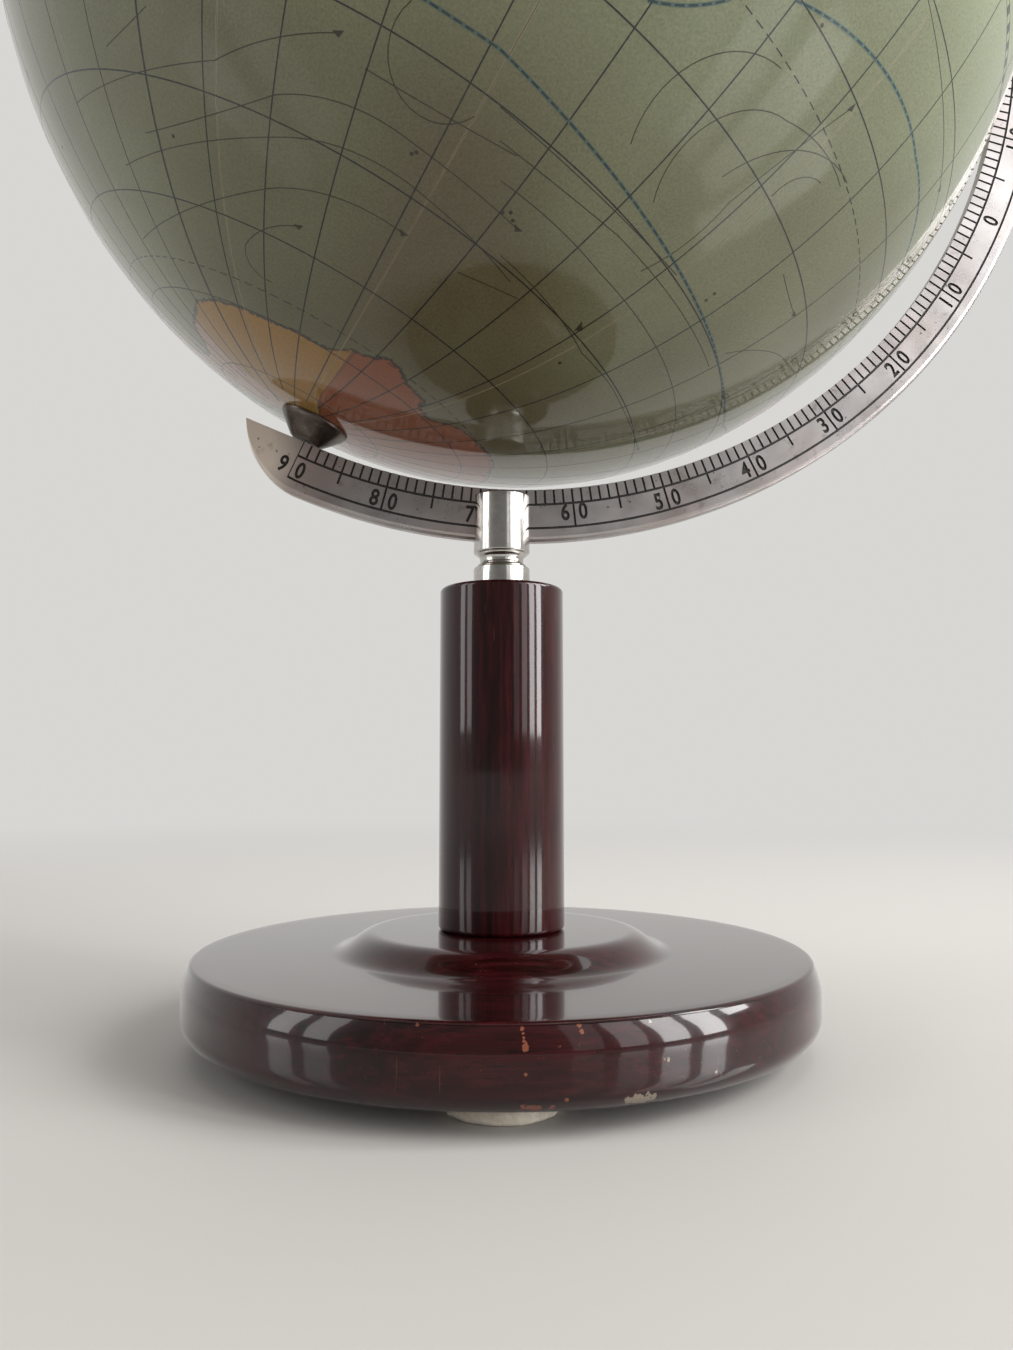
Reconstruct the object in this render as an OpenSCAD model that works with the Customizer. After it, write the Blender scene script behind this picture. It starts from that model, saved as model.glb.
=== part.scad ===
// Desk globe: a paper-covered ball turning on a tilted axis in a graduated half meridian,
// held by a turned metal stem on a lacquered wooden post and foot.
// Millimetres, +Z up. The origin is on the post's axis, in the plane that the felt feet stand on.
// The meridian lies in the XZ plane and the north pole leans towards +X.

/* [Ball] */
// Diameter of the ball over its paper
ball_d = 196; // [150:1:230]
// Wall of the pressed board half shells
board_t = 3; // [2:0.1:5]
// Thickness of the printed and varnished paper
paper_t = 0.4; // [0.3:0.05:0.8]
// Width of the seam between two gores at the equator
gore_seam = 0.12; // [0.05:0.01:0.3]
// Angle from the plane of the meridian to the first seam at rest, in degrees
gore_turn = 15; // [0:0.5:29.5]
// Height of the hoop that joins the half shells inside
hoop_h = 16; // [8:0.5:30]
// Wall of that hoop
hoop_t = 2; // [1:0.1:4]
// Diameter of the wooden spindle from pole to pole
spindle_d = 12; // [8:0.5:20]
// Diameter of the wooden blocks behind the poles
block_d = 30; // [24:0.5:44]
// Depth of those blocks at their middle
block_t = 10; // [8:0.5:16]
// Depth of the socket that each block has for the spindle
socket_h = 6; // [3:0.5:7]

/* [Poles] */
// Diameter of the steel pins that the ball turns on
pin_d = 1.6; // [1.2:0.1:1.8]
// Radial running clearance of a pin in the meridian
pin_clear = 0.05; // [0.02:0.01:0.1]
// Length of pin driven into the spindle
pin_grip = 20; // [10:1:30]
// Length of pin that enters the meridian
pin_reach = 5.5; // [3:0.5:7]
// Depth of meridian left free past the end of a pin
pin_end_play = 0.6; // [0.3:0.1:1.5]
// Diameter of a pole cap where it meets the ball
cap_d = 13.5; // [11:0.5:18]
// Diameter of a pole cap at the meridian
cap_tip_d = 6; // [4:0.5:9]
// Height of the straight lip round the wide end of a cap
cap_lip = 0.6; // [0.3:0.1:1]
// Running gap between a cap and the meridian
cap_gap = 0.3; // [0.2:0.05:0.6]
// Diameter of the flange of a pole eyelet
eyelet_d = 9; // [7:0.5:10]
// Thickness of that flange
eyelet_t = 0.4; // [0.3:0.05:0.6]
// Outer diameter of the eyelet's tube
eyelet_tube_d = 4; // [3:0.1:5]

/* [Meridian] */
// Tilt of the globe's axis from upright, in degrees
axis_tilt = 24; // [15:0.5:30]
// Distance of the ball's centre from the post's axis
ball_off = 3; // [0:0.5:6]
// Gap between the ball and the meridian
strip_gap = 4.5; // [3:0.1:8]
// Width of the meridian strip
strip_w = 10.3; // [8:0.1:14]
// Thickness of the meridian strip
strip_t = 2.6; // [2.4:0.1:4]
// Angle before each pole at which the strip's end starts to taper, in degrees
prow_start = 1.7; // [0.5:0.1:4]
// Radius of the rounded back of each tapered end
prow_r = 16.2; // [12:0.2:24]
// Height of that back above the outer edge, where it runs out of it
prow_lift = 0.1; // [0.05:0.01:0.3]
// Depth of the straight inner edge below the inner edge of the strip
prow_drop = 0.05; // [0.02:0.01:0.2]

/* [Stem] */
// Diameter of the slotted head
head_d = 11; // [9:0.1:14]
// Height of the head above its neck
head_h = 12.4; // [10:0.1:16]
// Chamfer of the head's lower edge
head_edge = 0.6; // [0.3:0.1:1]
// Rise of the head's top from its rim to its middle
head_crown = 0.9; // [0.3:0.1:1]
// Height of solid metal under the slot
slot_seat = 2.5; // [2:0.1:4]
// Clearance of the strip in its slot, on each face
slot_clear = 0.05; // [0.02:0.01:0.15]
// Diameter of the neck between head and collar
neck_d = 8.8; // [7.5:0.1:9]
// Height of the neck
neck_h = 2.6; // [1.5:0.1:5]
// Diameter of the collar that stands on the post
collar_d = 11; // [9:0.1:16]
// Height of the collar
collar_h = 4.3; // [3:0.1:8]
// Chamfer of the collar's upper edge
collar_edge = 0.5; // [0.2:0.1:1]
// Diameter of the collar's spigot in the post
spigot_d = 8; // [7:0.1:9]
// Length of that spigot
spigot_h = 6; // [3:0.5:12]

/* [Post] */
// Diameter of the post
post_d = 24; // [20:0.5:34]
// Height of the post above the foot
post_h = 65.1; // [40:0.1:90]
// Radius of the post's rounded ends
post_edge = 0.9; // [0.4:0.1:2]
// Diameter of the tenon under the post
tenon_d = 15; // [12:0.5:18]
// Length of the tenon
tenon_h = 3.6; // [2:0.1:4]

/* [Foot plate] */
// Diameter of the wooden foot plate
base_d = 116; // [104:1:150]
// Height of the plate at its rim
base_h = 12.4; // [11.5:0.1:18]
// Radius of the rim's upper edge
base_top_r = 1.4; // [0.6:0.1:3]
// Radius of the rim's lower edge
base_under_r = 3.7; // [1:0.1:5]
// Diameter of the raised boss under the post
boss_d = 56; // [40:1:70]
// Height of the boss above the plate
boss_h = 3.5; // [2:0.1:6]
// Radius of the boss's upper edge
boss_edge = 1.6; // [0.6:0.1:2]
// Radius of the cove at the foot of the boss
cove_r = 1.9; // [0.8:0.1:2]
// Diameter of the recess for the nut
recess_d = 24; // [20:0.5:34]
// Depth of that recess
recess_h = 8; // [7.6:0.1:9]

/* [Tie rod] */
// Diameter of the threaded rod from the head down to the nut
rod_d = 5; // [4:0.1:5.5]
// Radial clearance of the rod in the wood
rod_clear = 0.3; // [0.1:0.05:0.5]
// Length of rod screwed into the head
rod_grip = 4.2; // [3:0.1:4.5]
// Length of rod that shows below the nut
rod_tail = 1; // [0.4:0.1:1.4]
// Diameter of the flat washer
washer_d = 15; // [12:0.5:18]
// Thickness of the flat washer
washer_t = 1.2; // [0.8:0.1:1.4]
// Diameter of the spring washer
spring_d = 9; // [8:0.1:10]
// Thickness of the spring washer
spring_t = 1.2; // [0.8:0.1:1.3]
// Width of the slit in the spring washer
spring_slit = 1; // [0.6:0.1:1.6]
// Width across the flats of the nut
nut_af = 8; // [7.5:0.1:10]
// Height of the nut
nut_h = 4; // [3:0.1:4.2]

/* [Felt feet] */
// Diameter of a felt foot
felt_d = 18.5; // [14:0.5:26]
// Thickness of a felt foot
felt_t = 3.5; // [2:0.1:6]
// Distance of a foot's rim from the rim of the plate
felt_inset = 7.4; // [3.8:0.1:10]
// Turn of the front foot about the post, in degrees
felt_turn = -3; // [-10:0.5:10]

/* [Hidden] */
$fn = 128;
// Facets of the large circles and spheres whose small remainder makes a piece
fine_fn = 256;
gore_count = 12;
felt_count = 3;
// Glue line or fit between curved faces that don't move
fit = 0.05;
bite = 1;
ball_r = ball_d/2;
board_r = ball_r - paper_t - fit;
shell_in_r = board_r - board_t;
block_r = shell_in_r - fit;
block_in = block_r - block_t;
spindle_end = block_in + socket_h;
strip_in_r = ball_r + strip_gap;
strip_out_r = strip_in_r + strip_w;
pin_start = spindle_end - pin_grip;
pin_end = strip_in_r + pin_reach;
eyelet_bore = pin_d/2 + 2*fit;
pole_hole_r = eyelet_tube_d/2 + fit;
flange_r = ball_r + fit + eyelet_t;
cap_top = strip_in_r - cap_gap;
cap_seat = sqrt(pow(ball_r + fit, 2) - pow(cap_d/2, 2));
base_z = felt_t;
base_top = base_z + base_h;
boss_top = base_top + boss_h;
post_top = boss_top + post_h;
head_z = post_top + collar_h;
head_body_z = head_z + neck_h;
slot_z = head_body_z + slot_seat;
ball_z = slot_z + sqrt(pow(strip_out_r, 2) - pow(ball_off, 2));
recess_top = base_z + recess_h;
nut_top = recess_top - washer_t - spring_t;
rod_bottom = nut_top - nut_h - rod_tail;
rod_top = head_z + rod_grip;
felt_ring_r = base_d/2 - felt_inset - felt_d/2;
gore_names = [for (i = [1 : gore_count]) str("map_gore_", i)];
felt_names = [for (i = [1 : felt_count]) str("felt_foot_", i)];

// Puts a child that is drawn on the globe's own axis, with its north pole up, in its tilted place
module on_axis() {
    translate([ball_off, 0, ball_z]) rotate([0, axis_tilt, 0]) children();
}

// The same for a child of the south pole, which is drawn as if it were at the north pole
module at_south() {
    on_axis() mirror([0, 0, 1]) children();
}

// A ring, or a disc with a hole, standing on z
module ring(r_out, r_in, h, z) {
    translate([0, 0, z]) difference() {
        cylinder(r = r_out, h = h);
        translate([0, 0, -bite]) cylinder(r = r_in, h = h + 2*bite);
    }
}

// Half outline of a turned disc with rounded edges above and below
module turned_outline(r, h, r_above, r_below) {
    translate([0, r_below]) square([r, h - r_above - r_below]);
    square([r - r_below, h]);
    translate([0, r_below]) square([r - r_above, h - r_below]);
    translate([r - r_below, r_below]) circle(r = r_below);
    translate([r - r_above, h - r_above]) circle(r = r_above);
}

// The cove is what is left of a square corner once a circle is cut from it
module cove_outline() {
    difference() {
        translate([boss_d/2 - bite, -bite]) square([cove_r + bite, cove_r + bite]);
        translate([boss_d/2 + cove_r, cove_r]) circle(r = cove_r);
    }
}

module base_plate() {
    color("#4a1418") difference() {
        translate([0, 0, base_z]) rotate_extrude() {
            turned_outline(base_d/2, base_h, base_top_r, base_under_r);
            translate([0, base_h - bite])
                turned_outline(boss_d/2, boss_h + bite, boss_edge, bite/2);
            translate([0, base_h]) cove_outline();
        }
        translate([0, 0, base_z - bite]) cylinder(d = recess_d, h = recess_h + bite);
        translate([0, 0, base_z]) cylinder(r = rod_d/2 + rod_clear, h = base_h + boss_h + bite);
        translate([0, 0, boss_top - tenon_h - fit])
            cylinder(r = tenon_d/2 + fit, h = tenon_h + fit + bite);
    }
}

module post() {
    color("#4a1418") difference() {
        union() {
            translate([0, 0, boss_top]) rotate_extrude()
                turned_outline(post_d/2, post_h, post_edge, post_edge);
            translate([0, 0, boss_top - tenon_h]) cylinder(d = tenon_d, h = tenon_h + bite);
        }
        translate([0, 0, boss_top - tenon_h - bite])
            cylinder(r = rod_d/2 + rod_clear, h = tenon_h + post_h + 2*bite);
        translate([0, 0, post_top - spigot_h - fit])
            cylinder(r = spigot_d/2 + fit, h = spigot_h + fit + bite);
    }
}

module stem_collar() {
    color("#c9c9c6") difference() {
        union() {
            translate([0, 0, post_top]) cylinder(d = collar_d, h = collar_h - collar_edge);
            translate([0, 0, head_z - collar_edge])
                cylinder(d1 = collar_d, d2 = collar_d - 2*collar_edge, h = collar_edge);
            translate([0, 0, post_top - spigot_h]) cylinder(d = spigot_d, h = spigot_h + bite);
        }
        translate([0, 0, post_top - spigot_h - bite])
            cylinder(r = rod_d/2 + fit, h = spigot_h + collar_h + 2*bite);
    }
}

// The head is one turned piece: neck, chamfered barrel and low crown, slotted for the strip
module stem_head() {
    head_r = head_d/2;
    color("#c9c9c6") difference() {
        translate([0, 0, head_z]) rotate_extrude() polygon([
            [0, 0],
            [neck_d/2, 0],
            [neck_d/2, neck_h],
            [head_r - head_edge, neck_h],
            [head_r, neck_h + head_edge],
            [head_r, neck_h + head_h - head_crown],
            [0, neck_h + head_h]
        ]);
        intersection() {
            translate([-head_d, -strip_t/2 - slot_clear, slot_z - slot_seat/2])
                cube([2*head_d, strip_t + 2*slot_clear, head_h + slot_seat]);
            translate([ball_off, 0, ball_z]) rotate([90, 0, 0])
                cylinder(r = strip_out_r + slot_clear, h = strip_t + 4*bite, center = true);
        }
        translate([0, 0, head_z - bite]) cylinder(r = rod_d/2 + fit, h = rod_grip + fit + bite);
    }
}

module tie_rod() {
    color("#9a9a98") translate([0, 0, rod_bottom]) cylinder(d = rod_d, h = rod_top - rod_bottom);
}

module rod_washer() {
    color("#9a9a98") ring(washer_d/2, rod_d/2 + 2*fit, washer_t, recess_top - washer_t);
}

module spring_washer() {
    color("#7d7d7c") difference() {
        ring(spring_d/2, rod_d/2 + 2*fit, spring_t, nut_top);
        translate([0, -spring_slit/2, nut_top - bite])
            cube([spring_d, spring_slit, spring_t + 2*bite]);
    }
}

module rod_nut() {
    color("#9a9a98") translate([0, 0, nut_top - nut_h]) difference() {
        cylinder(d = nut_af/cos(30), h = nut_h, $fn = 6);
        translate([0, 0, -bite]) cylinder(r = rod_d/2 + fit, h = nut_h + 2*bite);
    }
}

module felt_foot(i) {
    turn = felt_turn - 90 + 360*i/felt_count;
    color("#c8c6bc") rotate([0, 0, turn]) translate([felt_ring_r, 0, 0])
        cylinder(d = felt_d, h = felt_t);
}

// What is cut off the ring past one end of the strip: all but a prow with a straight inner edge
// and a round back
module end_cut_outline() {
    rotate(-prow_start) difference() {
        translate([-2*ball_d, -prow_r]) square([2*ball_d, 2*ball_d]);
        intersection() {
            translate([0, strip_out_r - prow_r + prow_lift]) circle(r = prow_r);
            translate([-2*prow_r, strip_in_r - prow_drop]) square(4*prow_r);
        }
    }
}

module strip_outline() {
    difference() {
        circle(r = strip_out_r, $fn = fine_fn);
        circle(r = strip_in_r, $fn = fine_fn);
        end_cut_outline();
        mirror([0, 1]) end_cut_outline();
    }
}

module pole_hole() {
    translate([0, 0, strip_in_r - bite])
        cylinder(r = pin_d/2 + pin_clear, h = bite + pin_reach + pin_end_play);
}

module meridian_arc() {
    color("#a8a39d") on_axis() difference() {
        rotate([90, 0, 0]) linear_extrude(strip_t, center = true) strip_outline();
        pole_hole();
        mirror([0, 0, 1]) pole_hole();
    }
}

module half_shell() {
    rotate_extrude() intersection() {
        difference() {
            circle(r = board_r);
            circle(r = shell_in_r);
        }
        translate([pole_hole_r, 0]) square([ball_d, ball_d]);
    }
}

module shell_south() {
    color("#b59a74") at_south() half_shell();
}

module shell_north() {
    color("#b59a74") on_axis() half_shell();
}

module equator_hoop() {
    color("#a58a62") on_axis() rotate_extrude() difference() {
        circle(r = shell_in_r - fit, $fn = fine_fn);
        translate([-ball_d, -ball_d]) square([ball_d + shell_in_r - hoop_t, 2*ball_d]);
        translate([0, hoop_h/2]) square([ball_d, ball_d]);
        translate([0, -ball_d - hoop_h/2]) square([ball_d, ball_d]);
    }
}

module spindle() {
    color("#c79a63") on_axis() difference() {
        cylinder(d = spindle_d, h = 2*spindle_end, center = true);
        for (side = [0, 1]) mirror([0, 0, side]) translate([0, 0, pin_start - fit])
            cylinder(r = pin_d/2 + fit, h = pin_grip + fit + bite);
    }
}

module pole_block() {
    difference() {
        intersection() {
            sphere(r = block_r);
            translate([0, 0, block_in]) cylinder(d = block_d, h = 2*block_t);
        }
        translate([0, 0, block_in - bite])
            cylinder(r = spindle_d/2 + fit, h = socket_h + fit + bite);
        translate([0, 0, block_in]) cylinder(r = pin_d/2 + fit, h = 2*block_t);
    }
}

module pole_block_south() {
    color("#c79a63") at_south() pole_block();
}

module pole_block_north() {
    color("#c79a63") on_axis() pole_block();
}

module pole_pin() {
    translate([0, 0, pin_start]) cylinder(d = pin_d, h = pin_end - pin_start);
}

module pole_pin_south() {
    color("#a0a0a0") at_south() pole_pin();
}

module pole_pin_north() {
    color("#a0a0a0") on_axis() pole_pin();
}

// A tube through board and paper, with a flange that follows the ball
module pole_eyelet() {
    difference() {
        union() {
            intersection() {
                difference() {
                    sphere(r = flange_r);
                    sphere(r = ball_r + fit);
                }
                cylinder(d = eyelet_d, h = ball_d);
            }
            intersection() {
                sphere(r = flange_r);
                translate([0, 0, shell_in_r]) cylinder(d = eyelet_tube_d, h = ball_d);
            }
        }
        cylinder(r = eyelet_bore, h = ball_d);
    }
}

module pole_eyelet_south() {
    color("#b08d4f") at_south() pole_eyelet();
}

module pole_eyelet_north() {
    color("#b08d4f") on_axis() pole_eyelet();
}

// A cone whose wide end is hollowed to sit on the ball and over the eyelet's flange
module pole_cap() {
    difference() {
        union() {
            translate([0, 0, cap_seat - fit]) cylinder(d = cap_d, h = cap_lip + fit);
            translate([0, 0, cap_seat + cap_lip])
                cylinder(d1 = cap_d, d2 = cap_tip_d, h = cap_top - cap_seat - cap_lip);
        }
        sphere(r = ball_r + fit, $fn = fine_fn);
        intersection() {
            sphere(r = flange_r + fit, $fn = fine_fn);
            cylinder(r = eyelet_d/2 + 2*fit, h = ball_d);
        }
        cylinder(r = pin_d/2 + fit, h = ball_d);
    }
}

module pole_cap_south() {
    color("#3c3d3f") at_south() pole_cap();
}

module pole_cap_north() {
    color("#3c3d3f") on_axis() pole_cap();
}

// One printed gore, from pole to pole
module map_gore(i) {
    seam = 360*gore_seam/(PI*ball_d);
    tints = ["#8fa58c", "#87a088"];
    color(tints[i % 2]) on_axis() rotate([0, 0, gore_turn + 360*i/gore_count + seam/2])
        rotate_extrude(angle = 360/gore_count - seam) intersection() {
            difference() {
                circle(r = ball_r);
                circle(r = ball_r - paper_t);
            }
            translate([pole_hole_r, -ball_d]) square([ball_d, 2*ball_d]);
        }
}

base_plate();
post();
stem_collar();
stem_head();
meridian_arc();
tie_rod();
rod_washer();
spring_washer();
rod_nut();
for (i = [0 : felt_count - 1]) felt_foot(i);
shell_south();
shell_north();
equator_hoop();
spindle();
pole_block_south();
pole_block_north();
pole_pin_south();
pole_pin_north();
pole_eyelet_south();
pole_eyelet_north();
pole_cap_south();
pole_cap_north();
for (i = [0 : gore_count - 1]) map_gore(i);
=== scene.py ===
# Desk globe with a paper-covered ball in a graduated half meridian, on a lacquered wooden stand.
# Blender 4.5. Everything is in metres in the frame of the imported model; mm turns millimetres to metres.
import math

import bmesh
import bpy
import numpy as np
from mathutils import Matrix, Vector, noise


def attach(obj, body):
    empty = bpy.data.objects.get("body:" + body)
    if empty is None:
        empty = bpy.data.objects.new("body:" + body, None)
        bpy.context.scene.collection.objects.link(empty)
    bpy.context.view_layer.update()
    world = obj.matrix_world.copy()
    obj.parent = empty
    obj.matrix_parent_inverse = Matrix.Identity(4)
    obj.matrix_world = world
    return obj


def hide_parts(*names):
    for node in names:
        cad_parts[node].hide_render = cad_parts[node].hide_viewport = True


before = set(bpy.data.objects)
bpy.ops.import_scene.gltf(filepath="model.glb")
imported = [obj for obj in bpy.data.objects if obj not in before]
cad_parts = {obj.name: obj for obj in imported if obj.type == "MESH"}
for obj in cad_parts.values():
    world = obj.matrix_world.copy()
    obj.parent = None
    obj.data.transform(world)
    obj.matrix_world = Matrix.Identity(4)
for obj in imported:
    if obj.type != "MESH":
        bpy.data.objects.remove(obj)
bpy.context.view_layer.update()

mm = 0.001
fullTurn = 2 * math.pi
scene = bpy.context.scene
ballLook = {"tilt": 24, "centre": (3.0, 0.0, 206.660), "radius": 98.0}  # degrees towards +X, and mm
axisTilt = math.radians(ballLook["tilt"])
ballCentre = Vector(ballLook["centre"]) * mm
ballRadius = ballLook["radius"] * mm
ballPlace = Matrix.Translation(ballCentre) @ Matrix.Rotation(axisTilt, 4, "Y")  # from the ball's own axes


def linear(hexColour):
    values = [int(hexColour[i:i + 2], 16) / 255 for i in (1, 3, 5)]
    return [v / 12.92 if v <= 0.04045 else ((v + 0.055) / 1.055) ** 2.4 for v in values] + [1.0]


def socketOf(source):
    # a node stands for its first output
    return source if isinstance(source, bpy.types.NodeSocket) else source.outputs[0]


def addNode(tree, kind, settings=None, links=None):
    # settings are values of the node's sockets or properties; links are nodes or sockets
    node = tree.nodes.new(kind)
    for name, value in (settings or {}).items():
        if isinstance(name, int) or name in node.inputs:
            node.inputs[name].default_value = value
        else:
            setattr(node, name, value)
    for name, source in (links or {}).items():
        tree.links.new(socketOf(source), node.inputs[name])
    return node


def feed(tree, source, shader, socket):
    tree.links.new(socketOf(source), shader.inputs[socket])


def newMaterial(name, settings):
    # a material with one Principled shader; settings are the values of its own sockets
    material = bpy.data.materials.new(name)
    material.use_nodes = True
    tree = material.node_tree
    tree.nodes.clear()
    shader = addNode(tree, "ShaderNodeBsdfPrincipled", settings)
    addNode(tree, "ShaderNodeOutputMaterial", None, {"Surface": shader})
    return material, tree, shader


def objectNoise(tree, size, detail=4.0, roughness=0.5, stretch=(1, 1, 1), turn=(0, 0, 0)):
    # noise on Object coordinates with features about this many mm across
    where = addNode(tree, "ShaderNodeTexCoord").outputs["Object"]
    placed = addNode(tree, "ShaderNodeMapping", {"Scale": stretch, "Rotation": turn}, {"Vector": where})
    settings = {"Scale": 1 / (size * mm), "Detail": detail, "Roughness": roughness}
    return addNode(tree, "ShaderNodeTexNoise", settings, {"Vector": placed})


def levels(low, high, bottom=0.0, top=1.0):
    # a Map Range node's settings: low gives bottom and high gives top, clamped
    return {"From Min": low, "From Max": high, "To Min": bottom, "To Max": top}


def paintOver(tree, under, over, pattern, *amounts):
    # one colour over another, as much as the pattern says at the levels in amounts
    share = addNode(tree, "ShaderNodeMapRange", levels(*amounts), {"Value": pattern})
    mixed = addNode(tree, "ShaderNodeMix", {"data_type": "RGBA"}, {0: share})
    for slot, colour in ((6, under), (7, over)):
        if isinstance(colour, str):
            mixed.inputs[slot].default_value = linear(colour)
        else:
            feed(tree, colour, mixed, slot)
    return mixed.outputs[2]


def paintLayers(tree, colour, layers):
    # layers of (colour, noise, levels), each painted over what lies below it
    for over, pattern, amounts in layers:
        colour = paintOver(tree, colour, over, objectNoise(tree, **pattern), *amounts)
    return colour


def addRelief(tree, shader, pattern, depth, strength, socket="Normal"):
    # fine unevenness of a surface, with its depth in mm
    settings = {"Distance": depth * mm, "Strength": strength}
    height = objectNoise(tree, **pattern)
    feed(tree, addNode(tree, "ShaderNodeBump", settings, {"Height": height}), shader, socket)


def mottledMaterial(name, settings, colour, layers, dulling=None, reliefs=()):
    # a colour with layers of noise over it, dulling as (noise, levels of roughness), and reliefs
    material, tree, shader = newMaterial(name, settings)
    feed(tree, paintLayers(tree, colour, layers), shader, "Base Color")
    if dulling:
        pattern, amounts = dulling
        source = {"Value": objectNoise(tree, **pattern)}
        feed(tree, addNode(tree, "ShaderNodeMapRange", levels(*amounts), source), shader, "Roughness")
    for relief in reliefs:
        addRelief(tree, shader, *relief)
    return material


def finishPiece(bm, name, body, materials, nodes=(), smooth=True, sharpFrom=None):
    # the bmesh becomes a piece of the globe in its final place; edges from sharpFrom degrees stay sharp
    mesh = bpy.data.meshes.new(name)
    bm.to_mesh(mesh)
    bm.free()
    piece = bpy.data.objects.new(name, mesh)
    scene.collection.objects.link(piece)
    for material in materials:
        mesh.materials.append(material)
    mesh.polygons.foreach_set("use_smooth", [smooth] * len(mesh.polygons))
    if sharpFrom:
        mesh.set_sharp_from_angle(angle=math.radians(sharpFrom))
    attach(piece, body)
    if nodes:
        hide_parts(*nodes)


def joinInto(bm, part):
    # adds the faces of one bmesh to another, and frees it
    mesh = bpy.data.meshes.new("part")
    part.to_mesh(mesh)
    part.free()
    bm.from_mesh(mesh)
    bpy.data.meshes.remove(mesh)


def outlineLoop(bm, points, closed=True):
    # vertices and edges of an outline of (radius, height) in mm, standing in the XZ plane
    verts = [bm.verts.new((r * mm, 0, z * mm)) for r, z in points]
    edges = [bm.edges.new(pair) for pair in zip(verts, verts[1:])]
    if closed:
        edges.append(bm.edges.new((verts[-1], verts[0])))
    return verts + edges


def lathe(points, steps=192, closed=True):
    # spins an outline about Z; points on the axis are merged
    bm = bmesh.new()
    loop = outlineLoop(bm, points, closed)
    bmesh.ops.spin(bm, geom=loop, axis=(0, 0, 1), cent=(0, 0, 0), angle=fullTurn, steps=steps, use_merge=True)
    bmesh.ops.remove_doubles(bm, verts=bm.verts, dist=1e-7)
    bmesh.ops.recalc_face_normals(bm, faces=bm.faces)
    return bm


def openEdges(bm):
    return [e for e in bm.edges if e.is_boundary]


def roundedCorner(centre, radius, start, end, steps=8):
    # points of an arc in an outline, angles in degrees
    angles = [math.radians(start + (end - start) * i / steps) for i in range(steps + 1)]
    return [(centre[0] + radius * math.cos(a), centre[1] + radius * math.sin(a)) for a in angles]


def carve(bm, form, operation, materials=(), selfMeets=False):
    # an exact cut or intersection of one bmesh with another, as a new bmesh; both are freed
    holders = []
    for part in (bm, form):
        mesh = bpy.data.meshes.new("part")
        part.to_mesh(mesh)
        part.free()
        for material in materials:  # without them the faces would lose their material numbers
            mesh.materials.append(material)
        holders.append(bpy.data.objects.new("part", mesh))
        scene.collection.objects.link(holders[-1])
    modifier = holders[0].modifiers.new("form", "BOOLEAN")
    modifier.operation = operation
    modifier.solver = "EXACT"
    modifier.use_self = selfMeets
    modifier.object = holders[1]
    carved = bmesh.new()
    carved.from_object(holders[0], bpy.context.evaluated_depsgraph_get())
    for holder in holders:
        bpy.data.objects.remove(holder)
    return carved


print("stage 1: camera, floor and light")
cameraView = {
    "place": (-10.909, -196.199, 50.34),  # mm
    "turn": 3.46,  # degrees to the right of +Y
    "pitch": 5.05,  # degrees up
    "focal": 1014 / 1013,  # of the picture's width
    "film": 36.0, "near": 5,  # mm
}
cameraData = bpy.data.cameras.new("camera")
cameraData.sensor_fit = "HORIZONTAL"
cameraData.sensor_width = cameraView["film"]
cameraData.lens = cameraView["film"] * cameraView["focal"]
cameraData.clip_start = cameraView["near"] * mm
camera = bpy.data.objects.new("camera", cameraData)
camera.location = Vector(cameraView["place"]) * mm
camera.rotation_euler = (math.radians(90 + cameraView["pitch"]), 0, math.radians(-cameraView["turn"]))
scene.collection.objects.link(camera)
scene.camera = camera

stageLook = {
    "floor": "#bcb9b5", "bounce": "#806c61",  # the floor as it is seen, and as it lights the globe from below
    "sky": "#e4e3e0", "skySeen": 0.88, "skyLight": 0.5,
    "roomSeen": 0.29,  # how bright the room behind the camera is in mirrors
    "roomTurn": (-0.85, 0.3),  # where along Y the room turns into the backdrop, as a direction
    "fade": (0.12, 0.8),  # metres from the globe over which the floor turns into the backdrop
    "size": 12, "below": 0.05,  # metres across, and mm that the floor lies under the felt
}


def addRaySwitch(tree):
    # 1 for what the camera, mirrors and clear things see, and 0 for the light that falls on the globe
    rays = addNode(tree, "ShaderNodeLightPath")
    seen = rays.outputs["Is Camera Ray"]
    for kind in ("Is Glossy Ray", "Is Transmission Ray"):
        seen = addNode(tree, "ShaderNodeMath", {"operation": "MAXIMUM"}, {0: seen, 1: rays.outputs[kind]})
    return rays, seen


# matt floor paint, which turns into the backdrop far from the globe
floorPaint = {"Roughness": 0.6, "Coat Roughness": 0.08, "Coat IOR": 1.6}
floorMaterial, tree, shader = newMaterial("pale painted floor", floorPaint)
rays, seen = addRaySwitch(tree)
feed(tree, paintOver(tree, stageLook["bounce"], stageLook["floor"], seen, 0, 1), shader, "Base Color")
feed(tree, rays.outputs["Is Glossy Ray"], shader, "Coat Weight")  # polished in the lacquer's mirror only
where = addNode(tree, "ShaderNodeTexCoord").outputs["Object"]
away = addNode(tree, "ShaderNodeVectorMath", {"operation": "LENGTH"}, {0: where}).outputs["Value"]
fading = {"interpolation_type": "SMOOTHSTEP", **levels(*stageLook["fade"])}
fade = addNode(tree, "ShaderNodeMapRange", fading, {"Value": away})
glow = {"Color": linear(stageLook["sky"]), "Strength": stageLook["skySeen"]}
backdrop = addNode(tree, "ShaderNodeEmission", glow)
share = addNode(tree, "ShaderNodeMath", {"operation": "MULTIPLY"}, {0: fade, 1: seen})
both = addNode(tree, "ShaderNodeMixShader", None, {0: share, 1: shader, 2: backdrop})
feed(tree, both, tree.nodes["Material Output"], "Surface")
bm = bmesh.new()
place = Matrix.Translation((0, 0, -stageLook["below"] * mm))
bmesh.ops.create_grid(bm, x_segments=1, y_segments=1, size=stageLook["size"] / 2, matrix=place)
floorMesh = bpy.data.meshes.new("floor")
bm.to_mesh(floorMesh)
bm.free()
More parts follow.
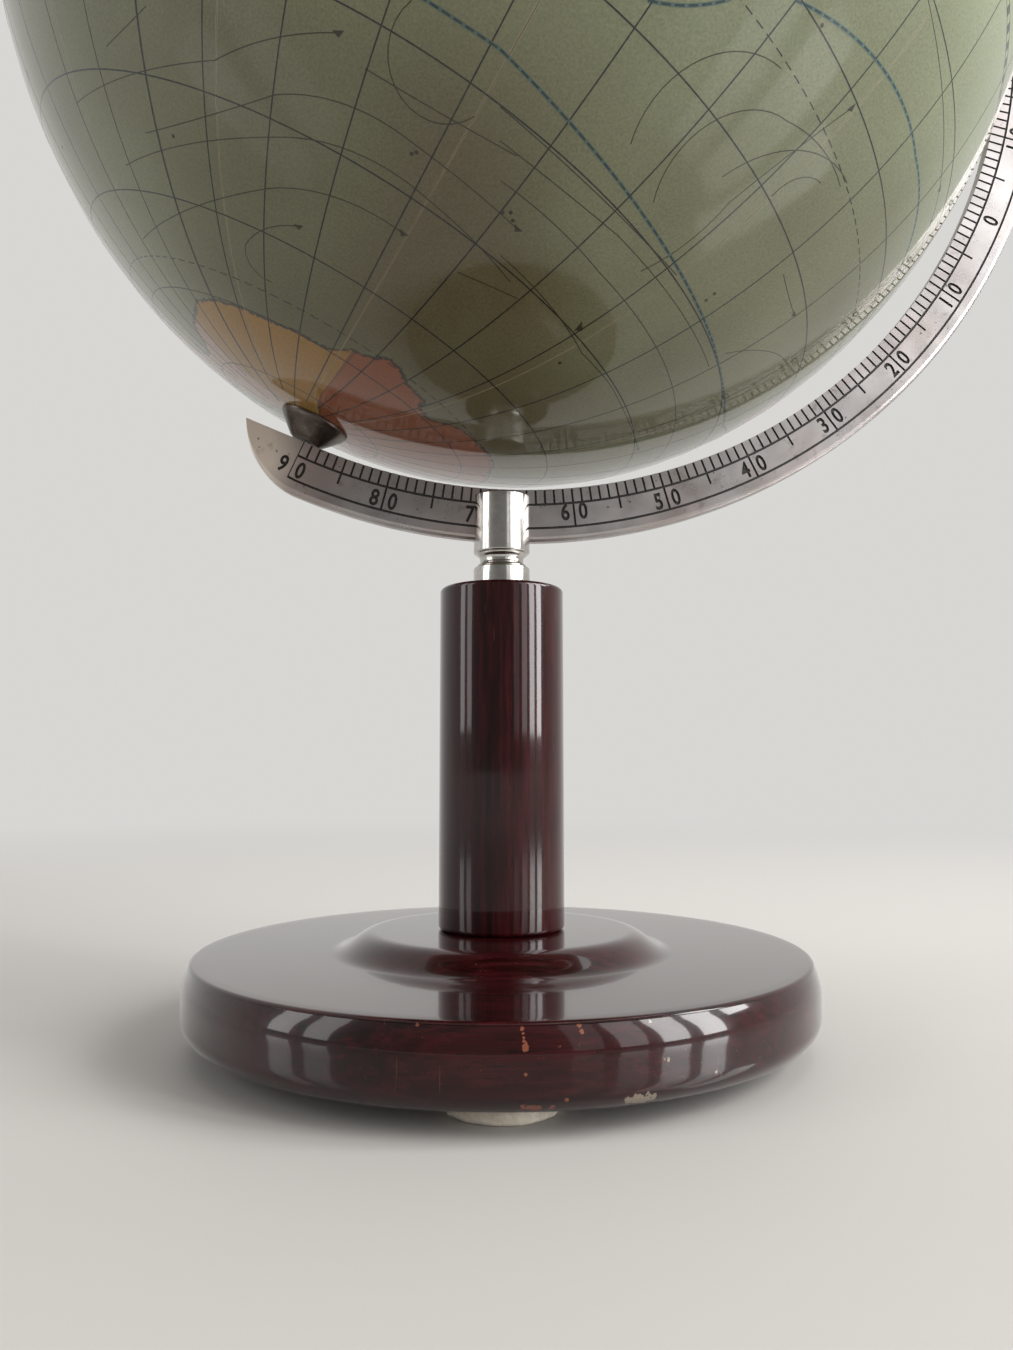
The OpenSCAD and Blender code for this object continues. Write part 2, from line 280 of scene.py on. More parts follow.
floorMesh.materials.append(floorMaterial)
floor = bpy.data.objects.new("floor", floorMesh)
scene.collection.objects.link(floor)

world = bpy.data.worlds.new("studio")
scene.world = world
world.use_nodes = True
tree = world.node_tree
tree.nodes.clear()
rays, seen = addRaySwitch(tree)
# mirrors show the pale backdrop behind the globe, and a dim room behind the camera
direction = addNode(tree, "ShaderNodeTexCoord").outputs["Generated"]
towards = addNode(tree, "ShaderNodeSeparateXYZ", None, {0: direction}).outputs["Y"]
roomToSky = levels(*stageLook["roomTurn"], stageLook["roomSeen"], stageLook["skySeen"])
mirrored = addNode(tree, "ShaderNodeMapRange", roomToSky, {"Value": towards})
onlyCamera = levels(0, 1, 0, stageLook["skySeen"])
direct = addNode(tree, "ShaderNodeMapRange", onlyCamera, {"Value": rays.outputs["Is Camera Ray"]})
shown = addNode(tree, "ShaderNodeMath", {"operation": "MAXIMUM"}, {0: mirrored, 1: direct})
strength = addNode(tree, "ShaderNodeMix", {2: stageLook["skyLight"]}, {0: seen, 3: shown})
sky = addNode(tree, "ShaderNodeBackground", {"Color": linear(stageLook["sky"])}, {"Strength": strength})
addNode(tree, "ShaderNodeOutputWorld", None, {0: sky})

# a wide window of five panes to the right, a narrow one to the left, and a soft ceiling:
# distance, height and size in metres, and watts by azimuth in degrees from the camera's side towards +X
lampLook = {
    "right pane": (1.35, 0.64, (0.26, 1.15), {24: 0.7, 39: 2.6, 54: 11, 69: 14}),
    "far right pane": (1.35, 0.95, (0.3, 0.9), {85: 12}),
    "left pane": (1.35, 0.58, (0.24, 1.0), {-64: 2.4, -79: 3.0}),
    "soft ceiling": (0.25, 1.4, (1.2, 1.2), {150: 8}),
}
aim = Vector((0, 0, 0.15))  # metres
for name, (distance, height, size, watts) in lampLook.items():
    for azimuth, power in watts.items():
        lampData = bpy.data.lights.new(name, "AREA")
        lampData.shape = "RECTANGLE"
        lampData.size, lampData.size_y = size
        lampData.energy = power
        lamp = bpy.data.objects.new(name, lampData)
        angle = math.radians(azimuth)
        lamp.location = (distance * math.sin(angle), -distance * math.cos(angle), height)
        lamp.rotation_euler = (aim - lamp.location).to_track_quat("-Z", "Y").to_euler()
        lamp.visible_camera = False
        scene.collection.objects.link(lamp)
scene.view_settings.view_transform = "Standard"


print("stage 2: coasts and countries of the map")
# outlines in degrees of longitude and latitude, east and north positive, drawn for this map
coasts = {
    "africa":
        "-6,35.8 0,36 3,37 8,37 11,37 10.3,34 12,33 15,32.3 19,30.3 20,32.5 23,32.7 25,31.6 29,31 "
        "32.3,31.2 33,29 33.5,27.5 35.5,24 37,21 37.4,18.8 39.5,15.5 43,12 43.3,11.4 45,10.5 51.2,11.8 "
        "50.8,9 48,4.5 45,2 42,-1 40,-2.6 39,-5 39.5,-8 40.6,-11 40.6,-14.5 36,-18.8 34.8,-20 35.5,-23.5 "
        "32.8,-26 32.5,-28.5 30,-31.3 27,-33.7 22,-34 20,-34.8 18.3,-34 18,-31.5 16.5,-28.5 15,-26 "
        "14.4,-22.5 12,-18 12.3,-15 13.7,-11 12.8,-7 12,-5 9.3,-1.5 9.5,1 9.8,3.5 8.8,4.5 6.5,4.3 4.5,6.3 "
        "1,6 -2,4.8 -7.5,4.4 -11,6.8 -13.2,9 -15,11 -16.8,13.2 -17.4,14.8 -16.4,17 -16.5,20 -17,21 "
        "-15.5,24.5 -13,27.7 -10,29.5 -9.8,31.5 -7.5,33.7",
    "madagascar":
        "49.2,-12 50.3,-15.5 49.5,-18 47.5,-24.5 45.3,-25.5 43.6,-23.5 44.3,-20 44.2,-16.5 46.5,-15.7",
    "eurasia":
        "-5.5,36 -6.5,37 -9,37 -9.3,38.8 -8.8,42.5 -8,43.7 -3,43.5 -1.5,43.6 -1.2,46 -2.5,47.3 -4.5,48.3 "
        "-1.5,48.7 -1.7,49.6 1.5,50.2 2,51 4,52 5,53.3 8.5,53.8 8.2,55.5 8.3,57 10.5,57.6 10.3,56 11,54.2 "
        "14,54 18.5,54.7 20,54.9 21,57 23.5,57 23.5,59 28,59.7 28,60.5 23,60 21.3,61 21.4,63 25.3,65 "
        "24,65.8 21.5,64.8 17.5,62 17.3,60.6 18.7,59.8 16.8,58.5 16,56.3 13,55.5 11.2,58.8 8,58.1 5.5,59 "
        "5,61.8 8,63.5 12.5,66 15,68.3 20,70 25.5,71 31,70.3 41,67 33,66.8 37,64 41,65.8 44,66 44,68.3 "
        "53,68.5 60,69 68,68.5 67,71.5 70,73 73,71.5 73,68 75,68.5 75,72 80,72.5 87,75 104,77.7 113,74 "
        "125,73 130,71 140,72.5 150,71.3 160,69.7 170,70 180,69 190,66.3 179,62.5 170,60 163,58 162,55.5 "
        "157,51 156,55 158,58 163,61.5 160,61.7 155,59.2 143,59.3 136,54.5 141,53 140.3,48 135.5,43.8 "
        "132,43 130,42.3 127.5,39.7 129.3,37 129,35.2 126.5,34.4 126.5,37.5 125,38 124.5,40 121.5,39 "
        "121,40.8 118,39 119,37.3 122.5,37.2 119.3,35 121.8,31.5 121.5,28.5 119,25.5 116.5,23 113.5,22.2 "
        "110.5,21.3 108,21.7 105.8,19 108.3,16 109.3,12 106.5,10.3 104.8,8.7 105,10.2 102.5,12.2 "
        "100.5,13.4 99.3,10 100.5,7 103.4,4 103.7,1.4 101,3 100,6.5 98.3,8 98.6,12 97.5,16.5 94.5,16 "
        "94,19 91.5,22.5 88,21.7 86.8,20.5 82.3,16.7 80.2,15.5 80.3,13 79.8,10.3 78,8.2 76.5,9 74.5,14 "
        "72.8,19 72.7,21 69,22.3 66.8,25 62,25.1 57.5,25.6 56.8,27.1 52,27.5 50,30 48,30 48.2,28 50.2,26 "
        "51.5,24.5 54,24.2 56.3,26.2 56.6,24.3 59.8,22.4 57.7,19 55,17 52,15.6 45,12.8 43.4,12.7 42.7,16 "
        "39.2,21 36.5,26 35,28 34.2,31.3 35.8,34.5 36,36.7 32,36.1 30.5,36.6 27.5,37 26.5,39.3 29,41.1 "
        "33,42 38,41 41.5,41.7 37.5,44.8 39,47 35,46.3 33.5,44.5 33.5,46 31,46.6 28.8,44.5 28,42.5 "
        "28.5,41.3 26,40.8 23.7,40.5 23,39 24,37.8 22.8,36.6 21.3,37.5 20.3,39.5 19.4,41.5 15,44.3 "
        "13.7,45.3 12.3,45 13.7,43.4 16,41.8 18.4,40.2 17,40.4 17,39 15.8,38 15.5,40 12,41.8 10.3,43.5 "
        "8.7,44.3 6.5,43.2 3.2,43.3 3,41.8 -0.3,39.5 -0.5,38 -2,36.8",
    "northAmerica":
        "-168,65.6 -166,68.3 -157,71.2 -141,69.7 -128,70.2 -120,69.6 -114,68.3 -108,68 -98,68 -94.5,71.8 "
        "-92,69.5 -88,68 -85,69.7 -81.5,68.7 -85.5,66.5 -88,64 -93.5,61.5 -94.5,59 -92.5,57 -88,56.5 "
        "-82.3,55.2 -82,52.8 -79.5,51.3 -78.8,52.5 -79,55 -77,57.5 -78.3,60 -77.5,62.4 -73,62 -69.5,59 "
        "-65,60.2 -62,57.5 -56,52.5 -60,50.2 -66.5,50.2 -70,47.5 -65,48.8 -64.5,46.5 -61,45.8 -65.5,43.6 "
        "-66.5,45 -70,43.7 -70.5,41.8 -74,40.6 -75.5,35.5 -78,34 -81.2,31.5 -80.2,26.8 -80.6,25.2 -82,27 "
        "-82.8,29.5 -85,29.8 -89.3,30.2 -89.5,29.2 -94,29.6 -97.3,27.5 -97.8,22.5 -95.8,18.7 -94,18.2 "
        "-91,18.7 -90.3,21 -87,21.5 -88,18 -88.5,15.9 -83.3,15 -83.7,11 -81,8.9 -79.5,9.6 -77.4,8.5 "
        "-78.3,7.9 -80,7.4 -83,8.3 -85.7,10 -87.5,13 -92,14.5 -94.5,16.2 -99,16.7 -105.5,20.3 -105.7,22.8 "
        "-109.5,26.5 -112.8,30 -114.8,31.6 -113.3,28.5 -109.5,23 -112,25.3 -115,28 -116,30.5 -117.2,32.7 "
        "-120.5,34.5 -123.8,38.8 -124.3,43 -123.8,46.2 -124.7,48.3 -122.6,48.5 -127.5,51 -130.5,54.5 "
        "-134,58 -139.5,59.7 -146,60.9 -151.5,59.3 -158,56.3 -164,54.7 -158,58.6 -162,59.2 -165,61 "
        "-164.5,63.3 -161,64.5",
    "southAmerica":
        "-77.6,8.6 -75.5,10.6 -73,11.3 -71.5,12.2 -70,11.8 -68,10.6 -62,10.7 -60,8.5 -57,6 -52,4.7 "
        "-50,1.5 -48.3,-1 -44,-2.7 -40,-2.9 -37,-4.8 -35,-6 -35,-9 -38.5,-13 -39,-17.8 -41,-22 -44.5,-23 "
        "-48.5,-26 -48.7,-28.5 -52,-32.8 -54.5,-34.9 -58,-34.2 -57,-36.5 -59,-38.7 -62,-39 -65,-41 "
        "-63.7,-42.8 -67.5,-46 -65.8,-47.8 -69,-51 -68.3,-52.6 -65.2,-54.7 -69,-55.5 -73.5,-53 -75.5,-50 "
        "-75,-46.5 -73,-42 -73.5,-38 -71.5,-32.5 -70.3,-26 -70.2,-19 -76.2,-14 -79,-8.5 -81.2,-6 -80,-3 "
        "-80.8,-1 -79.5,1.5 -77.5,4 -78,7.6",
    "australia":
        "113.7,-22.5 114.2,-26 115.7,-32 115.2,-34.3 118,-35 123.5,-34 126,-32.3 131,-31.5 134.5,-33 "
        "135.8,-34.8 137.8,-33 138.3,-35.5 140.5,-38 144,-38.5 146.5,-39 150,-37.4 151.3,-33.8 153,-30 "
        "153.3,-26 150.8,-23.3 147,-19.3 145.5,-15 143.5,-14.3 142.5,-10.8 141.5,-14 140.8,-17.5 "
        "139,-17.3 135.5,-15 137,-12.2 132.5,-11.3 130.5,-12.7 129,-15 126.5,-14 123.5,-17 122,-18 "
        "119,-20",
    "antarctica":
        "0,-70.4 12,-70.2 21,-70.2 30,-69.8 38,-69.9 41,-69 44,-68 49,-67.3 52,-66 56,-66.2 61,-67.4 "
        "68,-67.8 70,-69 76,-69.6 80,-68 85,-67 91,-66.7 98,-66.2 108,-66 115,-66.8 120,-67 126,-66.3 "
        "135,-66 142,-66.9 148,-68.3 155,-69.5 161,-70.4 170,-71.4 171,-74 164,-77.5 180,-78.3 -170,-78.5 "
        "-158,-77.8 -150,-77 -145,-75.5 -135,-74.5 -125,-74 -115,-74 -105,-74.7 -100,-73 -95,-73 "
        "-85,-73.5 -76,-73 -70,-71 -68,-68 -65,-66 -60,-63.5 -57,-63.3 -61,-66 -62,-70 -60.5,-74 -62,-76 "
        "-50,-78 -40,-78 -31,-76.3 -25,-74.5 -15,-72.8 -10,-71.3 -4,-70.9",
    "newGuinea":
        "131,-0.8 134.2,-0.9 135,-3.3 138,-1.7 141,-2.6 145.5,-4.8 147.8,-6.3 150.8,-10.4 147,-9.5 "
        "144,-7.7 141,-9.1 138,-8.3 138,-5.6 133,-4 132,-2.8",
    "borneo": "109,1.5 111.5,2.7 113.5,3.5 116.7,7 119,5.2 117.7,1 116,-3.8 111.5,-3.3 110,-1.3",
    "sumatra": "95.3,5.6 98,4.5 103.3,0.5 104.5,-2 106,-3.2 105.7,-5.8 102.3,-4 99,0.5",
    "java": "105.3,-6.7 108.5,-6.7 111,-6.4 114.4,-7.7 114,-8.7 108,-7.8",
    "celebes": "119,-3.3 119.8,0.8 124.8,1.6 121.5,0.3 123,-1 121.5,-2 122.5,-5 120.8,-2.9 120.3,-5.6",
    "luzon": "120.3,16 120.6,18.5 122.2,18.4 121.6,15.5 124,12.7 120.8,13.8",
    "mindanao": "122,7 123.5,8.6 126.3,9.7 126.5,7 125.3,5.8",
    "honshu": "131,34 133,35.5 136.8,37 140,40 141.3,41.4 142,39.7 140.8,35.7 138,34.7 135.7,33.6 133,34.2",
    "kyushu": "129.8,33.2 131.8,33.7 131.2,31.3 130.2,31.5",
    "hokkaido": "140,42 141.8,45.4 145.3,43.4 143.2,42",
    "sakhalin": "142,46.2 143.3,49 142.9,54.2 142,50",
    "britain":
        "-5.5,50.2 1.3,51.2 1.6,52.7 -0.2,54 -1.5,55.2 -2,57.5 -3.2,58.6 -5,58.5 -5.5,56 -3,54.5 -4.5,53 "
        "-5.2,51.8",
    "ireland": "-10,51.8 -6.3,52.2 -6,54 -8,55.2 -10,54",
    "iceland": "-24,65.5 -22.5,66.4 -16,66.4 -13.7,65 -18.5,63.4 -22.5,63.9",
    "greenland":
        "-73,78.2 -60,76 -55,71.5 -53,66 -48,61 -43.5,60 -40,65 -32,68 -22.5,70.5 -19,76 -12,81.3 "
        "-30,83.6 -60,82.2",
    "baffin": "-80,73.7 -72,71.5 -62,67 -65,63 -73,66 -78,69.8 -88,70.5 -86,73.5",
    "ellesmere": "-90,76.5 -78,76.2 -70,79.5 -62,82.5 -75,83.1 -90,81.5",
    "victoria": "-117,70 -105,69 -105,73 -115,73.3",
    "newfoundland": "-59.2,47.7 -53,46.8 -53.5,49 -56,51.5",
    "cuba": "-84.8,22 -82,23.2 -77,21.9 -74.3,20.2 -77.5,20 -79,21.7",
    "hispaniola": "-74.3,18.4 -73,19.9 -68.5,18.7 -71.5,17.8",
    "ceylon": "79.8,8 80.3,9.7 81.8,7.5 80.6,6",
    "taiwan": "120.1,23 121.5,25.2 121.8,24 120.9,22",
    "newZealandNorth": "172.8,-34.5 175.5,-36.8 178.4,-37.8 177,-39.5 175.2,-41.5 174,-39.3",
    "newZealandSouth": "172.8,-40.6 174.2,-41.7 170.8,-45.8 168.5,-46.6 166.6,-45.8 170,-43",
    "tasmania": "144.8,-40.8 148.2,-40.8 147.5,-43.2 146,-43.5",
    "novayaZemlya": "52,71.3 57,71 59,73.5 68,76.5 58,75.5 53,73",
    "svalbard": "12,79.5 20,80.3 24,79.8 18,77",
    "sicily": "12.5,38 15.5,38.2 15,36.8",
    "sardinia": "8.3,39.2 9.5,39.3 9.5,41 8.4,40.9",
    "kerguelen": "68.8,-48.8 70.4,-49.1 69.6,-49.8",
}
inlandWaters = {
    "caspian":
        "47.5,45.5 51.5,46.8 53,45 51,44 50.5,42 53,41.5 53.8,39 53.9,37 51,36.8 49,37.7 49.4,40.3 "
        "47.7,43",
    "aral": "58.5,44.5 60,46.3 61.5,45 59.5,43.7",
    "victoriaLake": "32,-0.5 34,0.2 33.8,-2 32,-2.5",
    "superior": "-92,46.7 -88,48.8 -84.7,46.8 -88,46.9",
    "michigan": "-87.6,41.8 -86.3,43 -85.5,45.5 -87.5,45.2",
    "winnipeg": "-98.5,53.8 -97,50.6 -96.5,52.5",
    "baikal": "104,51.7 109.7,55.6 108.5,53",
}
# where each tint lies: longitude, latitude and tint, each place taking what is nearest to it
tintSeeds = (
    "-6,32,4 2,29,4 9,34,4 17,27,3 30,27,0 30,14,2 -5,17,4 8,9,2 -1,8,2 -9.5,6.5,1 -12,10,4 18,12,4 "
    "14,0,4 24,-3,0 17,-12,3 17,-22,1 24,-30,1 23,-22,1 29,-17,2 37,-18,3 35,-6,2 38,1,2 39,9,0 46,6,3 "
    "47,-19,4 -4,40,1 -8,39.5,3 3,47,4 -2,53,2 -8,53,3 10,51,0 12,43,3 9,61,1 16,62,3 26,64,2 20,52,2 "
    "19,44,4 25,46,1 25,42.5,3 22,39,1 35,39,2 40,55,0 60,58,0 80,60,0 100,62,0 120,62,0 140,62,0 "
    "160,65,0 180,66,0 70,46,0 60,42,0 33,50,0 44,33,3 45,24,1 54,32,4 66,34,3 68,29,2 78,22,2 96,22,1 "
    "101,15,3 106,16,4 104,34,1 115,30,1 112,24,1 90,32,1 85,42,1 122,45,1 103,47,3 127,37,4 138,37,2 "
    "142,44,2 122,13,0 122,8,0 114,1,3 101,0,3 110,-7,3 121,-2,3 138,-4,3 146,-7,2 102,4,2 80.7,8,2 "
    "121,24,2 122,-25,1 135,-25,1 146,-25,1 146,-42,1 172,-42,2 -125,58,2 -110,56,2 -95,55,2 -75,52,2 "
    "-62,53,2 -110,68,2 -90,68,2 -75,66,2 -80,80,2 -152,64,3 -120,41,3 -105,40,3 -95,38,3 -85,37,3 "
    "-77,39,3 -70,44.5,3 -102,23,0 -111,28,0 -97,18,0 -90,15.5,4 -85.5,13.5,1 -82,9,3 -79,22,1 -72,18.7,4 "
    "-42,72,1 -19,65,1 -73,4,1 -66,7,0 -59,5,2 -55,4,4 -52,-10,3 -62,-5,3 -45,-8,3 -45,-20,3 -52,-27,3 "
    "-78.5,-1.5,4 -75,-10,2 -64,-17,4 -58,-22,1 -56,-33,4 -65,-35,0 -68,-45,0 -63,-27,0 -71.5,-33,2 "
    "-73.5,-46,2 -70,-23,2 -52,-75,2 -28,-78,2 -12,-78,0 12,-76,0 33,-76,0 57,-76,1 80,-76,1 105,-76,1 "
    "133,-76,1 139,-76,4 145,-76,1 155,-78,1 165,-78,2 -175,-80,2 -157,-78,2 -143,-78,3 -120,-78,3 "
    "-95,-76,3 -85,-76,3 -75,-76,2 -64,-68,2")
mapLook = {
    "turn": 114.58,  # longitude that lies towards the tilt, in degrees
    "lean": (-1.70, -2.45),  # how far off the pins the print was pasted, in degrees about its X and Y
    "firstSeam": 12.0, "firstGore": 120,  # longitude of one seam, and how far on from it gore 1 starts
    "gores": 12, "seam": 0.12, "paper": 0.4, "holeRadius": 2.05,  # mm
    "blendColatitude": 13.0,  # degrees; from here to the hole the print is drawn straight on the pins
    "step": 0.5,  # degrees between points of the paper
    "fieldReach": 5.0,  # degrees over which distances to outlines are kept
}
toMap = Matrix.Rotation(math.radians(mapLook["turn"]), 3, "Z")
fromMapStraight = np.array(toMap.transposed())
for lean, axis in ((mapLook["lean"][1], "Y"), (mapLook["lean"][0], "X")):
    toMap = toMap @ Matrix.Rotation(math.radians(lean), 3, axis)
fromMap = np.array(toMap.transposed())
goreSweep = fullTurn / mapLook["gores"]
goreWidth = goreSweep - mapLook["seam"] * mm / ballRadius  # radians
holeColatitude = math.asin(mapLook["holeRadius"] * mm / ballRadius)


def readPoints(text, size=2):
    return np.array([[float(v) for v in item.split(",")] for item in text.split()]).reshape(-1, size)


def directions(lonLat):
    lon, lat = np.radians(lonLat[..., 0]), np.radians(lonLat[..., 1])
    return np.stack([np.cos(lat) * np.cos(lon), np.cos(lat) * np.sin(lon), np.sin(lat)], -1)


def unit(v):
    return v / np.linalg.norm(v, axis=-1, keepdims=True)


def signedDistance(points, outline):
    # degrees from each direction to the outline, positive inside, worked out on a flat map centred on it
    reach = mapLook["fieldReach"]
    corners = directions(outline)
    middle = unit(corners.mean(0))
    side = unit(np.cross((0, 0, 1) if abs(middle[2]) < 0.9 else (1, 0, 0), middle))
    upward = np.cross(middle, side)

    def flat(v):
        angle = np.arccos(np.clip(v @ middle, -1, 1))
        scale = angle / np.maximum(np.sin(angle), 1e-9)
        return np.degrees(np.stack([v @ side, v @ upward], -1) * scale[:, None])

    poly = flat(corners)
    limit = np.hypot(*poly.T).max() + reach
    near = np.degrees(np.arccos(np.clip(points @ middle, -1, 1))) < limit
    result = np.full(len(points), -reach)
    spots = flat(points[near])
    best = np.full(len(spots), reach)
    inside = np.zeros(len(spots), bool)
    for a, b in zip(poly, np.roll(poly, -1, 0)):
        ab = b - a
        t = np.clip(((spots - a) @ ab) / max(ab @ ab, 1e-12), 0, 1)
        best = np.minimum(best, np.hypot(*(spots - a - t[:, None] * ab).T))
        crosses = (a[1] > spots[:, 1]) != (b[1] > spots[:, 1])
        with np.errstate(divide="ignore", invalid="ignore"):
            inside ^= crosses & (spots[:, 0] < a[0] + (spots[:, 1] - a[1]) * ab[0] / ab[1])
    result[near] = np.where(inside, best, -best)
    return result


def mapFields(points):
    # for directions on the map: distance to the coast, the five tints' fields, and how near the ice is
    distances = {name: signedDistance(points, readPoints(text)) for name, text in coasts.items()}
    land = np.maximum.reduce(list(distances.values()))
    ice = (distances["antarctica"] > 0.1 - mapLook["fieldReach"]).astype(float)
    for text in inlandWaters.values():
        land = np.minimum(land, -signedDistance(points, readPoints(text)))
    lat, lon = np.degrees(np.arcsin(points[:, 2])), np.degrees(np.arctan2(points[:, 1], points[:, 0]))
    sway = np.where(lat > -60, 1.0, 0.0)  # borders wander a degree or two, but those of the ice are straight
    lonLat = np.stack([lon + sway * (1.3 * np.sin(lat * 0.9 + lon * 0.23) + 0.6 * np.sin(lat * 2.3 + 1)),
                       lat + sway * (1.0 * np.sin(lon * 0.8 - lat * 0.31) + 0.5 * np.sin(lon * 2.1 + 2))], -1)
    seeds = readPoints(tintSeeds, 3)
    angles = np.degrees(np.arccos(np.clip(directions(lonLat) @ directions(seeds[:, :2]).T, -1, 1)))
    tintCount = len(paperLook["tints"])
    nearest = np.stack([angles[:, seeds[:, 2] == k].min(1) for k in range(tintCount)], -1)
    fields = [np.delete(nearest, k, 1).min(1) - nearest[:, k] for k in range(tintCount)]
    return land, np.clip(np.stack(fields, -1) / 2, -mapLook["fieldReach"], mapLook["fieldReach"]), ice


def goreMesh():
    # one gore on the map's own axis, from longitude 0: an outline of two arcs, spun
    hole = holeColatitude
    sweep = math.pi - 2 * hole
    outerSteps = round(math.degrees(sweep) / mapLook["step"])
    innerSteps = 60  # out of sight, so coarser
    bm = bmesh.new()
    ends = []
    for radius, steps in ((ballRadius, outerSteps), (ballRadius - mapLook["paper"] * mm, innerSteps)):
        start = bm.verts.new((radius * math.sin(hole), 0, radius * math.cos(hole)))
        made = bmesh.ops.spin(bm, geom=[start], axis=(0, 1, 0), cent=(0, 0, 0), angle=sweep, steps=steps)
        ends.append((start, next(g for g in made["geom_last"] if isinstance(g, bmesh.types.BMVert))))
    for outer, inner in zip(*ends):
        bm.edges.new((outer, inner))
    outline = bm.verts[:] + bm.edges[:]
    steps = round(math.degrees(goreSweep) / mapLook["step"])
    bmesh.ops.spin(bm, geom=outline, axis=(0, 0, 1), cent=(0, 0, 0), angle=goreWidth, steps=steps)
    bmesh.ops.holes_fill(bm, edges=openEdges(bm), sides=0)
    bmesh.ops.recalc_face_normals(bm, faces=bm.faces)
    return bm


def onGlobe(points):
    # map directions to directions on the ball, drawn straight onto the pins near the poles
    lean, straight = points @ fromMap.T, points @ fromMapStraight.T
    colatitude = np.degrees(np.arccos(np.clip(np.abs(points[:, 2]), 0, 1)))
    low, high = math.degrees(holeColatitude), mapLook["blendColatitude"]
    t = np.clip((colatitude - low) / (high - low), 0, 1)[:, None]
    return unit(straight + (lean - straight) * (t * t * (3 - 2 * t)))


print("stage 3: paper gores with the printed map")
paperLook = {
    "ocean": ("#879273", "#6c7156"), "stain": "#62563d",
    "lowFrontPatches": ((-12, -54, 126, 17), (-18, -41, 120, 14), (-8, -65, 134, 16), (0, -47, 121, 15),
                    (-1, -21, 111, 22)),  # X, Y, Z and reach in mm
    "lowFrontDarkening": 0.42,
    "tints": ("#a8873f", "#985d38", "#b39b8b", "#76875c", "#877382"),
    "coast": "#2b2a26", "border": "#6a4433", "seam": "#b3b298",
    "coastWidth": 0.09, "iceCoast": 0.2, "ragged": 0.55,  # degrees on the ball, as are all the fields
    "ageing": 0.035,  # how far the sheets differ in tone
}
varnish = {"Roughness": 0.5, "Specular IOR Level": 0.15, "Coat Weight": 1.0}
orangePeel = ({"size": 2.5, "detail": 2}, 0.02, 0.5, "Coat Normal")


def pointValues(tree, name):
    # the three values that each point of the paper carries under this name
    values = addNode(tree, "ShaderNodeAttribute", {"attribute_name": name}).outputs["Vector"]
    return list(addNode(tree, "ShaderNodeSeparateXYZ", None, {0: values}).outputs)


# paper under a clear varnish: matt print with a mirror-like coat and slight orange peel
paperCoat = {**varnish, "Coat Roughness": 0.08, "Coat IOR": 1.48}
mapPaper, tree, shader = newMaterial("varnished map paper", paperCoat)
*tintFields, landField = pointValues(tree, "tintsA") + pointValues(tree, "tintsB")
seamField, toneField, iceField = pointValues(tree, "goreEdge")
ragged = {"operation": "MULTIPLY_ADD", 1: paperLook["ragged"], 2: -paperLook["ragged"] / 2}
shift = addNode(tree, "ShaderNodeMath", ragged, {0: objectNoise(tree, 1.6, detail=3)})
roughLand = addNode(tree, "ShaderNodeMath", {"operation": "ADD"}, {0: landField, 1: shift})
ocean = paintOver(tree, *paperLook["ocean"], objectNoise(tree, 60, detail=2), 0.35, 0.65)
stains = objectNoise(tree, 28, detail=5, roughness=0.6)
ocean = paintOver(tree, ocean, paperLook["stain"], stains, 0.5, 0.75, 0, 0.35)
place = addNode(tree, "ShaderNodeTexCoord").outputs["Object"]
# darker brown patches at given places on the lower front of the ball, each fading out over its reach
for *spot, reach in paperLook["lowFrontPatches"]:
    fromSpot = {"operation": "DISTANCE", 1: [v * mm for v in spot]}
    distance = addNode(tree, "ShaderNodeVectorMath", fromSpot, {0: place}).outputs["Value"]
    wavy = {"operation": "MULTIPLY_ADD", 1: reach * mm}
    edge = addNode(tree, "ShaderNodeMath", wavy, {0: stains, 2: distance})
    fading = (0.6 * reach * mm, 1.5 * reach * mm, paperLook["lowFrontDarkening"], 0)
    ocean = paintOver(tree, ocean, paperLook["stain"], edge, *fading)
land = paperLook["tints"][0]
border = tintFields[0]
for field, tint in zip(tintFields[1:], paperLook["tints"][1:]):
    land = paintOver(tree, land, tint, field, -0.02, 0.02)
    border = addNode(tree, "ShaderNodeMath", {"operation": "MAXIMUM"}, {0: border, 1: field})
land = paintOver(tree, land, paperLook["border"], border, 0.05, 0.09, 0.75, 0)
colour = paintOver(tree, ocean, land, roughLand, -0.03, 0.03)
# the coast is a fine dark line, and a broad toothed one round the ice
teeth = levels(0.45, 0.6, 0.0, paperLook["iceCoast"])
teeth = addNode(tree, "ShaderNodeMapRange", teeth, {"Value": objectNoise(tree, 0.9, detail=2)})
widened = {"operation": "MULTIPLY_ADD", 2: paperLook["coastWidth"]}
lineWidth = addNode(tree, "ShaderNodeMath", widened, {0: teeth, 1: iceField})
fromCoast = addNode(tree, "ShaderNodeMath", {"operation": "ABSOLUTE"}, {0: roughLand})
fromCoast = addNode(tree, "ShaderNodeMath", {"operation": "SUBTRACT"}, {0: fromCoast, 1: lineWidth})
colour = paintOver(tree, colour, paperLook["coast"], fromCoast, -0.03, 0.03, 0.85, 0)
grain = objectNoise(tree, 0.35, detail=3)
grainTone = addNode(tree, "ShaderNodeMapRange", levels(0.3, 0.7, 0.82, 1.12), {"Value": grain})
tone = addNode(tree, "ShaderNodeMath", {"operation": "MULTIPLY"}, {0: grainTone, 1: toneField})
tone = addNode(tree, "ShaderNodeCombineColor", None, {0: tone, 1: tone, 2: tone})
multiply = {"data_type": "RGBA", "blend_type": "MULTIPLY", 0: 1.0}
colour = addNode(tree, "ShaderNodeMix", multiply, {6: colour, 7: tone}).outputs[2]
colour = paintOver(tree, colour, paperLook["seam"], seamField, 0.05, 0.13, 0.75, 0)
feed(tree, colour, shader, "Base Color")
addRelief(tree, shader, *orangePeel)
addRelief(tree, shader, {"size": 0.6, "detail": 3}, 0.01, 0.5)

